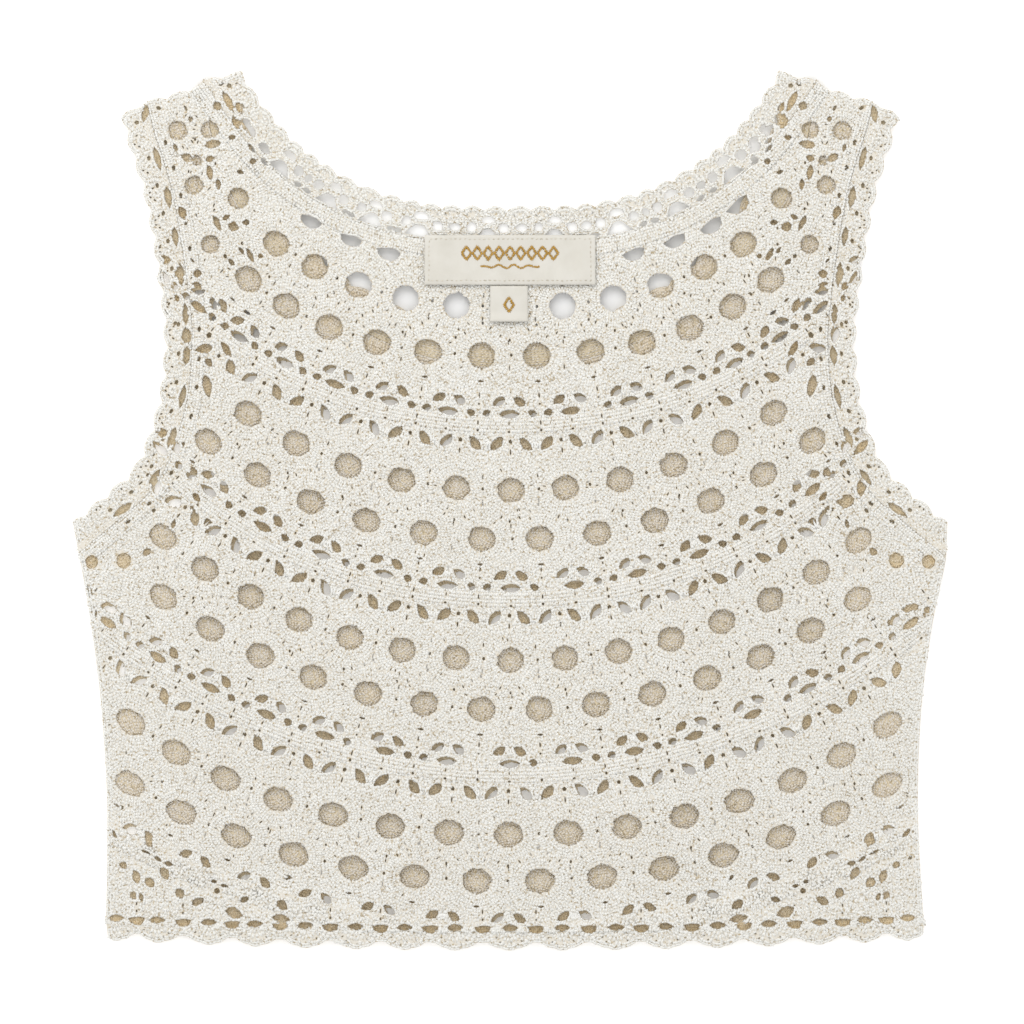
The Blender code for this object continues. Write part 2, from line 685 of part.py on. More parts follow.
def label_and_tab():
    """The woven label over the neck tape, and the size tab that hangs from its lower edge."""

    def label_underside(p):
        return upper_underside(p) + WALL + TAPE_RISE + LABEL_CLEARANCE

    def tab_underside(p):
        return upper_underside(p) + WALL + LABEL_CLEARANCE

    cloth(
        "neck_label",
        rectangle(0.0, LABEL_TOP, LABEL_SIZE, 8),
        label_underside,
        lambda p: label_underside(p) + LABEL_WALL,
        SATIN,
    )
    cloth(
        "size_tab",
        rectangle(TAB_CENTRE_X, LABEL_TOP - LABEL_SIZE[1] - SEAM_GAP, TAB_SIZE, 3),
        tab_underside,
        lambda p: tab_underside(p) + LABEL_WALL,
        SATIN,
    )


def main():
    for old in list(bpy.data.objects):
        bpy.data.objects.remove(old, do_unlink=True)
    collection = bpy.data.collections.new(COLLECTION)
    bpy.context.scene.collection.children.link(collection)
    lower_layer()
    upper_layer()
    label_and_tab()


main()
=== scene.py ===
"""Looks of a sleeveless crochet top that lies flat, its upper panel over its lower one.

Each crochet piece is a thin shell on the form of its CAD solid, cut through by every gap in the
lace. Short strands of yarn lie on the shell and follow the stitches: round each cell, across the
tapes, along the nets and out through the scallops. A woven label with a size tab is sewn on below
the neck.

Places and sizes are in millimetres until a mesh is made. X runs across the top, Y from hem to
neck, and Z up from the surface it lies on.
"""

import logging
import math
from collections.abc import Callable, Sequence
from dataclasses import dataclass
from enum import Enum

import bmesh
import bpy
import numpy as np
from mathutils.geometry import delaunay_2d_cdt
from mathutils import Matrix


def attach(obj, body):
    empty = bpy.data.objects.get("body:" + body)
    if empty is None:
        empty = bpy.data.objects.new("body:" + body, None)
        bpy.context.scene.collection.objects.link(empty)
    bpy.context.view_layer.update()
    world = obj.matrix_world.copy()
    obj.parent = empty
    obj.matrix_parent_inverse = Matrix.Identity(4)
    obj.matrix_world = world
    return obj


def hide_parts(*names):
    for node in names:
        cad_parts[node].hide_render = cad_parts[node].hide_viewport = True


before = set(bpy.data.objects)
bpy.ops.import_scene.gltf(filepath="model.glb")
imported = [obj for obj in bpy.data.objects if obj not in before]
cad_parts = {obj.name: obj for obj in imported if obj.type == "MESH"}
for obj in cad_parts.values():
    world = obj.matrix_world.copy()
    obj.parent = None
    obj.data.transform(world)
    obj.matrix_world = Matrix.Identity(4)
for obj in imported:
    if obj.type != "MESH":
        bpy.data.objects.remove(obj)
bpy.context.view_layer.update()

log = logging.getLogger("crochet_top")

Plan = np.ndarray  # points in the plan, one row each
Tree = bpy.types.NodeTree
Socket = bpy.types.NodeSocket
Material = bpy.types.Material

METRES = 0.001

# The garment's curves, as in its solids
SHOULDER_INNER = (128.6, 211.0)
SHOULDER_OUTER = (186.8, 188.8)
UPPER_NECK = ((0.0, 146.7), (38.0, 148.3), (70.0, 157.0), (97.4, 173.6), (115.2, 192.0), SHOULDER_INNER)
ARMHOLE = (
    SHOULDER_OUTER, (183.4, 176.5), (174.8, 147.0), (167.6, 100.0), (166.5, 75.0),
    (170.0, 49.0), (180.0, 22.5), (196.0, 6.8), (210.0, -4.8),
)
LOWER_NECK_DEPTH = 124.0
HEM_LOWEST = -211.0
HEM_RISE = 5.0
HALF_HEM = 196.0
HEM_LEFT, HEM_RIGHT = -194.1, 199.0
HEM_CRESTS = (
    -189.1, -169.4, -144.5, -122.4, -98.4, -73.9, -50.4, -26.4, 0.0,
    25.0, 50.9, 74.9, 99.8, 124.3, 148.8, 170.4, 191.0,
)
FAN_WIDTH = 24.3  # of the fan that FAN_EDGE describes, which is eased to the room between its neighbours
LOWER_NECK_SCALLOPS = 25
ARMHOLE_SCALLOPS = 16
NECK_WIDTH = 18.2
NECK_INSET = 0.4  # how far inside the neck's line the crests of its scallops lie
ARMHOLE_WIDTH = 13.9
HEM_WIDTH = 9.1
NECK_TAPE = 7.6
ARMHOLE_TAPE = 6.7
NECK_SEAM = 1.2  # width of the seam between the neck's edging and its tape
TAPE_HALF = 4.2
CROSS_TAPES = 3  # tapes across a panel. The last of TAPES is the line of the hem's seam.

# Heights within one layer of crochet
WALL = 1.8
SEAM_GAP = 0.3
TAPE_RISE = 0.6
SHELL_FROM = 0.3  # the upper shell's underside, over the layer's
SHELL_TO = 1.15  # the upper shell's face, over the layer's underside
LOWER_SHELL_RISE = 0.45  # how much higher in its layer the lower shell lies
YARN_BED = 0.04  # how far over the shell's face a strand's middle lies
FLATTENED = 0.66  # a strand's height as a share of its width
PRESSED = 0.2  # how much deeper strands lie on an underside
LOFT = 1.4  # how far the upper layer lies off the lower one, in the middle
LOFT_EASE = 70.0  # how far from the sides and the shoulders it comes down
DIP = 1.5  # how far the upper layer sinks where the lower neck leaves room under it


def smooth(t: np.ndarray) -> np.ndarray:
    """0 to 1 as t goes from 0 to 1, level at both ends."""
    t = np.clip(t, 0.0, 1.0)
    return t * t * (3.0 - 2.0 * t)


def turned(vectors: Plan, degrees: float | np.ndarray) -> Plan:
    """The vectors turned counter-clockwise."""
    turn = np.radians(degrees)
    cos, sin = np.cos(turn), np.sin(turn)
    x, y = vectors[..., 0], vectors[..., 1]
    return np.stack([x * cos - y * sin, x * sin + y * cos], axis=-1)


# ---------------------------------------------------------------- lines in the plan


@dataclass
class Path:
    """A line in the plan, measured by the length along it. Its right is the right of its travel."""

    points: Plan

    def __post_init__(self) -> None:
        """Measures how far along each point lies."""
        steps = np.linalg.norm(np.diff(self.points, axis=0), axis=1)
        self.along = np.concatenate([[0.0], np.cumsum(steps)])
        self.length = float(self.along[-1])

    @classmethod
    def through(cls, knots: Sequence, samples: int = 12) -> "Path":
        """A Catmull-Rom line.

        Args:
            knots: The points that it passes through.
            samples: Points on each span.

        Returns:
            The line.
        """
        k = np.asarray(knots, dtype=float)
        k = np.vstack([2 * k[0] - k[1], k, 2 * k[-1] - k[-2]])
        t = np.arange(samples)[:, None] / samples
        spans = [
            0.5 * (2 * b + (c - a) * t + (2 * a - 5 * b + 4 * c - d) * t**2 + (3 * b - a - 3 * c + d) * t**3)
            for a, b, c, d in zip(k, k[1:], k[2:], k[3:])
        ]
        return cls(np.vstack([*spans, k[-2:-1]]))

    def both_halves(self) -> "Path":
        """The line from its mirror image's far end to its own, through the middle."""
        return Path(np.vstack([self.points[:0:-1] * (-1, 1), self.points]))

    def reverse(self) -> "Path":
        """The same line travelled the other way."""
        return Path(self.points[::-1].copy())

    def flipped(self) -> "Path":
        """The line's mirror image on the other half, travelled the other way."""
        return Path(self.points[::-1] * (-1, 1))

    def at(self, along: np.ndarray, right: float | np.ndarray = 0.0) -> tuple[Plan, Plan]:
        """Points beside the line.

        Args:
            along: Their lengths along it. Beyond its ends the line runs on straight.
            right: How far to its right they lie.

        Returns:
            The points, and the line's unit tangents there.
        """
        along = np.asarray(along, dtype=float)
        inside = np.clip(along, 0.5, self.length - 0.5)
        ahead, behind = (
            [np.interp(inside + step, self.along, axis) for axis in self.points.T] for step in (0.5, -0.5)
        )
        tangent = np.stack(ahead, axis=-1) - np.stack(behind, axis=-1)
        tangent /= np.linalg.norm(tangent, axis=-1, keepdims=True)
        kept = np.clip(along, 0.0, self.length)
        point = np.stack([np.interp(kept, self.along, axis) for axis in self.points.T], axis=-1)
        point = point + tangent * (along - kept)[..., None]
        return point + turned(tangent, -90) * np.asarray(right)[..., None], tangent

    def place(self, plan: Plan) -> tuple[np.ndarray, np.ndarray]:
        """Where points lie beside the line.

        Args:
            plan: The points.

        Returns:
            Each one's length along the line, and how far to its right it is.
        """
        a, way = self.points[:-1], np.diff(self.points, axis=0)
        squares = (way**2).sum(axis=1)
        along, right = np.empty(len(plan)), np.empty(len(plan))
        for start in range(0, len(plan), 20000):
            part = plan[start : start + 20000]
            dx, dy = part[:, :1] - a[:, 0], part[:, 1:] - a[:, 1]
            t = np.clip((dx * way[:, 0] + dy * way[:, 1]) / squares, 0.0, 1.0)
            away = np.hypot(dx - way[:, 0] * t, dy - way[:, 1] * t)
            best = away.argmin(axis=1)
            pick = np.arange(len(part)), best
            turn = way[best, 1] * dx[pick] - way[best, 0] * dy[pick]
            along[start : start + 20000] = self.along[best] + t[pick] * np.sqrt(squares[best])
            right[start : start + 20000] = away[pick] * np.where(turn > 0, 1.0, -1.0)
        return along, right


@dataclass(frozen=True)
class Course:
    """A line of cells, or a tape, across the top: Y = height + tilt X + sag X^2 + curl X^4.

    Its middle is at X = shift, and the cell k steps from there is pitch k - ease k^2 along it.
    """

    height: float
    tilt: float
    sag: float
    curl: float
    shift: float = 0.0
    pitch: float = 0.0
    ease: float = 0.0

    def path(self, reach: float = 214.0) -> Path:
        """The course from left to right."""
        x = np.linspace(-reach, reach, 161)
        return Path(np.column_stack([x, self.height + self.tilt * x + self.sag * x**2 + self.curl * x**4]))

    def above(self, plan: Plan) -> np.ndarray:
        """How far over the course the points lie, square to it."""
        x = plan[:, 0]
        slope = self.tilt + 2 * self.sag * x + 4 * self.curl * x**3
        rise = plan[:, 1] - (self.height + self.tilt * x + self.sag * x**2 + self.curl * x**4)
        return rise / np.sqrt(1 + slope**2)

    def stations(self, phase: float) -> Plan:
        """The points at every step from the phase's start, out to both sides."""
        path = self.path()
        steps = np.arange(-8.0, 8.0) + phase
        walked = self.shift + self.pitch * steps - self.ease * steps * np.abs(steps)
        return path.at(path.length / 2 + walked[np.abs(walked) < path.length / 2])[0]


COURSES = (
    Course(97.3, 0.0, 1.840e-3, 4.9e-8, -0.2, 26.0, 0.48),
    Course(74.3, 0.0, 1.388e-3, 6.1e-8, -0.3, 26.8, 0.47),
    Course(9.9, 0.0, 1.787e-3, 3.4e-8, 0.4, 26.1, -0.12),
    Course(-13.7, 0.0, 1.805e-3, 2.1e-8, 0.3, 27.8, -0.08),
    Course(-71.7, -6.5e-3, 1.708e-3, 1.4e-8, 0.1, 26.2, 0.06),
    Course(-95.4, -3.6e-3, 1.626e-3, 1.1e-8, 0.1, 27.6, 0.03),
    Course(-155.3, -1.8e-3, 1.188e-3, 1.3e-8, -0.7, 28.9, 0.20),
    Course(-177.8, 0.0, 1.112e-3, 0.9e-8, -0.7, 30.4, 0.18),
)
TAPES = (
    Course(40.8, 0.0, 1.875e-3, 1.6e-8),
    Course(-42.7, 0.0, 1.790e-3, 1.8e-8),
    Course(-127.0, 0.0, 1.670e-3, 0.3e-8),
    Course(-203.5, 0.0, 1.170e-3, 0.3e-8),
)

NECK_PATH = Path.through(UPPER_NECK).both_halves()
ARMHOLE_PATH = Path.through(ARMHOLE).reverse()  # the right one, from underarm to shoulder, cloth on its left
LEFT_ARMHOLE_PATH = ARMHOLE_PATH.flipped()
TURNS = np.linspace(0.0, math.pi, 61)
LOWER_NECK_PATH = Path(
    np.column_stack(
        [-SHOULDER_INNER[0] * np.cos(TURNS), SHOULDER_INNER[1] - LOWER_NECK_DEPTH * np.sin(TURNS)]
    )
)


def hem_line(x: np.ndarray) -> np.ndarray:
    """How far up the crests of the hem's scallops lie."""
    return HEM_LOWEST + HEM_RISE * (x / HALF_HEM) ** 2


# A fan of the hem: distance from its middle, and how far up its edge lies there
FAN_EDGE = (
    (0.0, 0.0), (1.8, 0.15), (3.4, 1.05), (4.6, 1.1), (6.4, 1.6),
    (7.8, 2.3), (9.0, 3.0), (9.8, 3.7), (12.2, 3.8),
)
FAN_EDGE_TOP = 5.5  # all of the edging's outline that lies lower is its scalloped edge

HEM_XS = np.linspace(HEM_LEFT, HEM_RIGHT, 61)
HEM_PATH = Path(np.column_stack([HEM_XS, hem_line(HEM_XS)]))


class Survey:
    """Where points lie in the garment: in its edgings, on its tapes, or in its lace."""

    def __init__(self, plan: Plan, neck: Path) -> None:
        """Measures the points from the neck, the armholes, the hem and the tapes."""
        _, self.neck_depth = neck.place(plan)
        right_half = np.column_stack([np.abs(plan[:, 0]), plan[:, 1]])
        _, arm_right = ARMHOLE_PATH.place(right_half)
        self.arm_depth = -arm_right
        self.hem_height = plan[:, 1] - hem_line(plan[:, 0])
        self.above_tapes = np.stack([tape.above(plan) for tape in TAPES])
        self.tape_away = np.abs(self.above_tapes[:CROSS_TAPES]).min(axis=0)
        self.band = (self.above_tapes[:CROSS_TAPES] < 0).sum(axis=0)

    def on_cross_tape(self) -> np.ndarray:
        """Whether each point lies on a tape that runs across the panel."""
        return self.tape_away < TAPE_HALF

    def on_neck_tape(self) -> np.ndarray:
        """Whether each point lies on the neck's tape, inside the seam with the edging."""
        past_seam = self.neck_depth > NECK_WIDTH + NECK_SEAM
        return past_seam & (self.neck_depth < NECK_WIDTH + NECK_TAPE)

    def on_armhole_tape(self) -> np.ndarray:
        """Whether each point lies on an armhole's tape."""
        return (self.arm_depth > ARMHOLE_WIDTH) & (self.arm_depth < ARMHOLE_WIDTH + ARMHOLE_TAPE)

    def in_lace(self) -> np.ndarray:
        """Whether each point lies on a panel clear of its tapes."""
        return ~(self.on_cross_tape() | self.on_neck_tape() | self.on_armhole_tape())

    def tape_share(self) -> np.ndarray:
        """1 on a tape, 0 on the lace, between them on a tape's slope of 1 mm."""
        cross = TAPE_HALF - np.abs(self.above_tapes).min(axis=0)
        neck = NECK_WIDTH + NECK_TAPE - self.neck_depth
        arm = ARMHOLE_WIDTH + ARMHOLE_TAPE - self.arm_depth
        panel = (self.neck_depth > NECK_WIDTH) & (self.arm_depth > ARMHOLE_WIDTH)
        panel &= self.hem_height > HEM_WIDTH
        return np.where(panel, np.clip(np.maximum(cross, np.maximum(neck, arm)), 0.0, 1.0), 0.0)


# ---------------------------------------------------------------- how the layers lie


@dataclass(frozen=True)
class Crease:
    """A soft ridge in the cloth that fades out along and across its length."""

    x: float
    y: float
    turn: float
    length: float
    width: float
    rise: float

    def height(self, plan: Plan) -> np.ndarray:
        """How far the ridge lifts the cloth at the points."""
        away = turned(plan - (self.x, self.y), -self.turn) / (self.length, self.width)
        return self.rise * np.exp(-(away**2).sum(axis=1))


CREASES = (
    Crease(-120.0, -20.0, 35.0, 75.0, 17.0, 0.9),
    Crease(112.0, -34.0, -38.0, 66.0, 15.0, 0.8),
    Crease(-58.0, -140.0, 78.0, 60.0, 20.0, 0.7),
    Crease(84.0, -150.0, 101.0, 52.0, 18.0, 0.8),
    Crease(8.0, 58.0, 4.0, 70.0, 16.0, 0.6),
)


class Layer(Enum):
    """Which of the two layers a piece is in."""

    LOWER = "lower"
    UPPER = "upper"

    @property
    def neck(self) -> Path:
        """The crest line of the layer's neck."""
        return NECK_PATH if self is Layer.UPPER else LOWER_NECK_PATH

    def underside(self, plan: Plan) -> np.ndarray:
        """How high the layer's underside lies over the surface at the points."""
        if self is Layer.LOWER:
            return np.zeros(len(plan))
        across, down = plan[:, 0], SHOULDER_INNER[1] - plan[:, 1]
        within_sides = smooth((HALF_HEM - np.abs(across)) / LOFT_EASE)
        below_shoulders = smooth(down / LOFT_EASE)
        scoop = np.hypot(across / SHOULDER_INNER[0], down / LOWER_NECK_DEPTH)  # 1 on the lower neck
        lift = LOFT + sum(crease.height(plan) for crease in CREASES)
        lift = lift * within_sides * below_shoulders * smooth((scoop - 0.6) / 0.5)
        dip = DIP * smooth((0.88 - scoop) / 0.22)
        return WALL + SEAM_GAP + lift - dip

    def shell_underside(self, plan: Plan) -> np.ndarray:
        """How high the shell's underside lies at the points."""
        return self.underside(plan) + SHELL_FROM + (LOWER_SHELL_RISE if self is Layer.LOWER else 0.0)

    def face(self, plan: Plan) -> np.ndarray:
        """How high the shell's face lies at the points. The upper layer's tapes stand proud."""
        face = self.shell_underside(plan) + SHELL_TO - SHELL_FROM
        if self is Layer.UPPER:
            face = face + TAPE_RISE * Survey(plan, self.neck).tape_share()
        return face


# ---------------------------------------------------------------- gaps in the lace


class Shape(Enum):
    """The outline of a gap, counter-clockwise, as corners in half lengths from its centre."""

    LEAF = (
        (-1, 0.05), (-0.45, -0.6), (0.2, -0.95), (0.8, -0.42),
        (1, 0.3), (0.55, 0.82), (-0.05, 1.0), (-0.62, 0.72),
    )
    LENS = ((-1, 0), (-0.6, -0.65), (0, -1), (0.55, -0.75), (1, 0.05), (0.6, 0.7), (0, 0.95), (-0.6, 0.62))
    ARCH = (
        (-1, -1), (-0.4, -0.92), (0.4, -0.92), (1, -1), (0.62, 0.1),
        (0.3, 0.85), (0, 1), (-0.3, 0.85), (-0.62, 0.1),
    )
    BOWL = (
        (-1, 0.55), (-0.8, -0.35), (-0.35, -0.95), (0.3, -1),
        (0.8, -0.5), (1, 0.6), (0.4, 0.95), (-0.3, 0.85),
    )
    PIN = ((1, 0), (0.3, 0.95), (-0.8, 0.6), (-0.8, -0.6), (0.3, -0.95))
    DASH = ((-1, 0), (-0.5, -0.8), (0.4, -0.9), (1, 0), (0.6, 0.8), (-0.5, 0.9))
    ROUND = tuple((math.cos(math.pi * i / 12), math.sin(math.pi * i / 12)) for i in range(24))

    @property
    def worked(self) -> bool:
        """Whether a rolled rim of yarn goes round it."""
        return self not in (Shape.PIN, Shape.DASH)


@dataclass(frozen=True)
class Gap:
    """One gap in the lace."""

    x: float
    y: float
    half_long: float
    half_short: float
    turn: float
    shape: Shape

    def outline(self, rng: np.random.Generator) -> Plan:
        """The gap's counter-clockwise outline, a little uneven."""
        corners = np.array(self.shape.value) * (1 + rng.normal(0.0, 0.05, (len(self.shape.value), 1)))
        return turned(corners * (self.half_long, self.half_short), self.turn) + (self.x, self.y)

    def near(self, plan: Plan, margin: float) -> np.ndarray:
        """Whether each point lies in the gap or within the margin of it."""
        halves = np.array([self.half_long, self.half_short]) + margin
        return inside(turned(np.array(self.shape.value) * halves, self.turn) + (self.x, self.y), plan)

    def mirrored(self) -> "Gap":
        """The same gap on the other half."""
        return Gap(-self.x, self.y, self.half_long, self.half_short, 180 - self.turn, self.shape)


def gap_at(point: Plan, tangent: Plan, half_long: float, half_short: float, turn: float, shape: Shape) -> Gap:
    """A gap whose turn is measured from the tangent."""
    heading = math.degrees(math.atan2(tangent[1], tangent[0])) + turn
    return Gap(float(point[0]), float(point[1]), half_long, half_short, heading, shape)


def clear_of(gaps: Sequence[Gap], plan: Plan, worked: float, pierced: float) -> np.ndarray:
    """Whether each point is clear of every gap.

    Args:
        gaps: The gaps.
        plan: The points.
        worked: The margin to keep from a gap with a rolled rim.
        pierced: The margin to keep from a pinhole or dash.

    Returns:
        One truth for each point.
    """
    clear = np.ones(len(plan), dtype=bool)
    order = np.argsort(plan[:, 0])
    xs = plan[order, 0]
    for gap in gaps:
        margin = worked if gap.shape.worked else pierced
        reach = gap.half_long + gap.half_short + margin
        span = order[np.searchsorted(xs, gap.x - reach) : np.searchsorted(xs, gap.x + reach)]
        span = span[np.abs(plan[span, 1] - gap.y) < reach]
        clear[span] &= ~gap.near(plan[span], margin)
    return clear


def inside(outline: Plan, plan: Plan) -> np.ndarray:
    """Whether each point lies within the closed outline."""
    within = np.zeros(len(plan), dtype=bool)
    x, y = plan[:, 0], plan[:, 1]
    for (ax, ay), (bx, by) in zip(outline, np.roll(outline, -1, axis=0)):
        if ay != by:
            within ^= ((ay > y) != (by > y)) & (x < ax + (bx - ax) * (y - ay) / (by - ay))
    return within


# ---------------------------------------------------------------- outlines from the solids

SMALLEST_CELL = 6.1  # product of a cell's half length and half breadth
LONGEST_CELL = 1.5  # its half length as a share of its half breadth
CELL_ROUNDING = 1.03  # a worked cell swells a little past the sides of its solid's eight-sided hole


def plan_loops(node: str) -> list[Plan]:
    """The closed outlines of a CAD node's top in the plan.

    Args:
        node: The node's name.

    Returns:
        The loops, the longest first. It runs counter-clockwise and those of gaps clockwise.
    """
    form = bmesh.new()
    form.from_mesh(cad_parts[node].data)
    bmesh.ops.remove_doubles(form, verts=form.verts, dist=1e-6)
    form.normal_update()
    ahead = {}
    for edge in form.edges:
        tops = [loop for loop in edge.link_loops if loop.face.normal.z > 0.5]
        if len(tops) == 1:
            ahead[tops[0].vert] = tops[0].link_loop_next.vert
    loops = []
    while ahead:
        first, vertex = ahead.popitem()
        loop = [first]
        while vertex is not first:
            loop.append(vertex)
            vertex = ahead.pop(vertex)
        loops.append(np.array([v.co.xy for v in loop]) / METRES)
    form.free()
    return sorted(loops, key=lambda loop: -np.ptp(loop[:, 0]))


def smoothed(loop: Plan, corner: float = 48.0, samples: int = 3) -> Plan:
    """A closed outline with its curves rounded and its corners kept."""
    ahead, behind = np.roll(loop, -1, axis=0) - loop, loop - np.roll(loop, 1, axis=0)
    turn = np.degrees(np.arctan2(ahead[:, 1], ahead[:, 0]) - np.arctan2(behind[:, 1], behind[:, 0]))
    corners = np.flatnonzero(np.abs((turn + 180) % 360 - 180) > corner)
    loop = np.roll(loop, -corners[0], axis=0)
    corners = [*(corners - corners[0]), len(loop)]
    loop = np.vstack([loop, loop[:1]])
    runs = [Path.through(loop[a : b + 1], samples).points[:-1] for a, b in zip(corners, corners[1:])]
    return np.vstack(runs)


def cell_from(loop: Plan) -> Gap:
    """The round cell that a loop outlines."""
    path = Path(np.vstack([loop, loop[:1]]))
    loop, _ = path.at(np.arange(64) * path.length / 64)
    centre = loop.mean(axis=0)
    spread, axes = np.linalg.eigh(np.cov((loop - centre).T, bias=True))
    halves = np.sqrt(2 * spread) * CELL_ROUNDING
    return gap_at(centre, axes[:, 1], float(halves[1]), float(halves[0]), 0.0, Shape.ROUND)


# ---------------------------------------------------------------- yarn


class Facing(Enum):
    """Which way a layer's strands face."""

    UP = 1
    DOWN = -1


@dataclass
class Stitches:
    """Short strands of yarn, an entry each in every array.

    A strand is a spindle that lies along its heading. Its tone is 0 for the shaded colour of the
    yarn and 1 for the brightest.
    """

    place: Plan
    heading: np.ndarray
    length: np.ndarray
    width: np.ndarray
    lift: np.ndarray
    tone: np.ndarray

    @classmethod
    def laid(
        cls,
        place: Plan,
        direction: Plan,
        rng: np.random.Generator,
        length: float,
        width: float,
        lift: float = 0.0,
        tone: float = 0.5,
        lean: float = 0.0,
        stray: float = 6.0,
    ) -> "Stitches":
        """Strands at the places.

        Args:
            place: Their middles.
            direction: The vectors that they follow.
            rng: Where their unevenness is drawn from.
            length: Their length from tip to tip.
            width: Their thickness at the middle.
            lift: How far above the bed they lie.
            tone: Their mean tone.
            lean: Degrees by which they lean from the direction, every other one the other way.
            stray: Spread of their headings in degrees.

        Returns:
            The strands.
        """
        n = len(place)
        leans = lean * np.where(np.arange(n) % 2, -1.0, 1.0) + rng.normal(0.0, stray, n)
        return cls(
            place + rng.normal(0.0, 0.09, (n, 2)),
            np.arctan2(direction[:, 1], direction[:, 0]) + np.radians(leans),
            length * rng.uniform(0.88, 1.14, n),
            width * rng.uniform(0.88, 1.12, n),
            lift + rng.normal(0.0, 0.035, n),
            np.clip(tone + rng.normal(0.0, 0.13, n), 0.0, 1.0),
        )

    def where(self, mask: np.ndarray) -> "Stitches":
        """The strands that the mask keeps."""
        return Stitches(*(values[mask] for values in vars(self).values()))

    @staticmethod
    def together(groups: Sequence["Stitches"]) -> "Stitches":
        """All the groups as one."""
        return Stitches(*(np.concatenate(values) for values in zip(*(vars(g).values() for g in groups))))

    def __len__(self) -> int:
        """How many strands there are."""
        return len(self.heading)


def spindle() -> tuple[np.ndarray, np.ndarray]:
    """One strand of unit length and width along X, pointed at both ends, its back up.

    Returns:
        Its points and its triangles.
    """
    form = bmesh.new()
    waist = bmesh.ops.create_circle(form, cap_ends=False, segments=3, radius=0.62)["verts"]
    for end in (-0.5, 0.5):
        tip = form.verts.new((0.0, -0.1, end))
        for near, far in zip(waist, [*waist[1:], waist[0]]):
            form.faces.new((near, far, tip))
    bmesh.ops.recalc_face_normals(form, faces=form.faces)
    turn = np.array([[0, 0, 1], [1, 0, 0], [0, 1, 0]])  # its ends along X, a corner of the waist up
    form.verts.index_update()
    points = np.array([v.co for v in form.verts]) @ turn.T
    points[:, 2] *= math.copysign(1.0, points[np.abs(points[:, 2]).argmax(), 2])
    faces = np.array([[v.index for v in face.verts] for face in form.faces])
    form.free()
    return points, faces


STRAND_POINTS, STRAND_FACES = spindle()


def yarn_mesh(
    name: str,
    stitches: Stitches,
    bed: Callable[[Plan], np.ndarray],
    material: Material,
    facing: Facing = Facing.UP,
) -> bpy.types.Object:
    """All the strands as one mesh.

    Args:
        name: The piece's name.
        stitches: The strands.
        bed: How high the surface that they lie on is at given points.
        material: Their finish. It can read each strand's tone.
        facing: Whether they lie on a face or hang under an underside.

    Returns:
        The piece.
    """
    x = STRAND_POINTS[:, 0] * stitches.length[:, None]
    y = STRAND_POINTS[:, 1] * stitches.width[:, None]
    cos, sin = np.cos(stitches.heading)[:, None], np.sin(stitches.heading)[:, None]
    flat = np.stack([x * cos - y * sin, x * sin + y * cos], axis=-1) + stitches.place[:, None]
    sunk = YARN_BED if facing is Facing.UP else YARN_BED - PRESSED
    rise = STRAND_POINTS[:, 2] * FLATTENED * stitches.width[:, None] + stitches.lift[:, None] + sunk
    height = bed(stitches.place)[:, None] + rise * facing.value
    points = np.concatenate([flat, height[..., None]], axis=-1).reshape(-1, 3) * METRES
    corners = STRAND_FACES if facing is Facing.UP else STRAND_FACES[:, ::-1]
    first = np.arange(len(stitches))[:, None, None] * len(STRAND_POINTS)
    mesh = bpy.data.meshes.new(name)
    mesh.from_pydata(points.tolist(), [], (corners + first).reshape(-1, 3).tolist())
    tone = mesh.attributes.new("tone", "FLOAT", "POINT")
    tone.data.foreach_set("value", np.repeat(stitches.tone, len(STRAND_POINTS)).astype(np.float32))
    mesh.shade_smooth()
    mesh.materials.append(material)
    return placed(name, mesh)


def placed(name: str, mesh: bpy.types.Mesh) -> bpy.types.Object:
    """The mesh as a piece in the scene."""
    piece = bpy.data.objects.new(name, mesh)
    bpy.context.scene.collection.objects.link(piece)
    return piece


RIM_PITCH = 1.2  # from strand to strand of a rolled edge


def rim(outline: Plan, outwards: float, rng: np.random.Generator, turn: float = 14.0) -> Stitches:
    """A rolled edge of slanting strands beside a counter-clockwise outline."""
    path = Path(np.vstack([outline, outline[:1]]))
    place, tangent = path.at(np.arange(0.0, path.length, RIM_PITCH), outwards)
    return Stitches.laid(place, turned(tangent, turn), rng, length=2.6, width=1.5, lift=0.04, tone=0.72)


@dataclass(frozen=True)
class RowWork:
    """How a row of strands is worked beside a path, each turned from it by the same angle.

    Attributes:
        turn: That angle.
        pitch: The room from strand to strand.
        length: A strand's length.
        width: Its thickness.
        lean: Degrees by which every other strand leans to either side.
        lift: How far above the bed the row lies.
        tone: Its mean tone.
        run_on: How far it goes on past its path's ends, to be trimmed by the piece's outline.
    """

    turn: float = 90.0
    pitch: float = 1.25
    length: float = 2.9
    width: float = 1.85
    lean: float = 12.0
    lift: float = 0.0
    tone: float = 0.65
    run_on: float = 9.0

    def beside(self, path: Path, right: float, rng: np.random.Generator) -> Stitches:
        """The row, as far to the path's right as is said."""
        steps = np.arange(rng.uniform(0, self.pitch) - self.run_on, path.length + self.run_on, self.pitch)
        place, tangent = path.at(steps, right)
        return Stitches.laid(
            place, turned(tangent, self.turn), rng, self.length, self.width, self.lift, self.tone, self.lean
        )


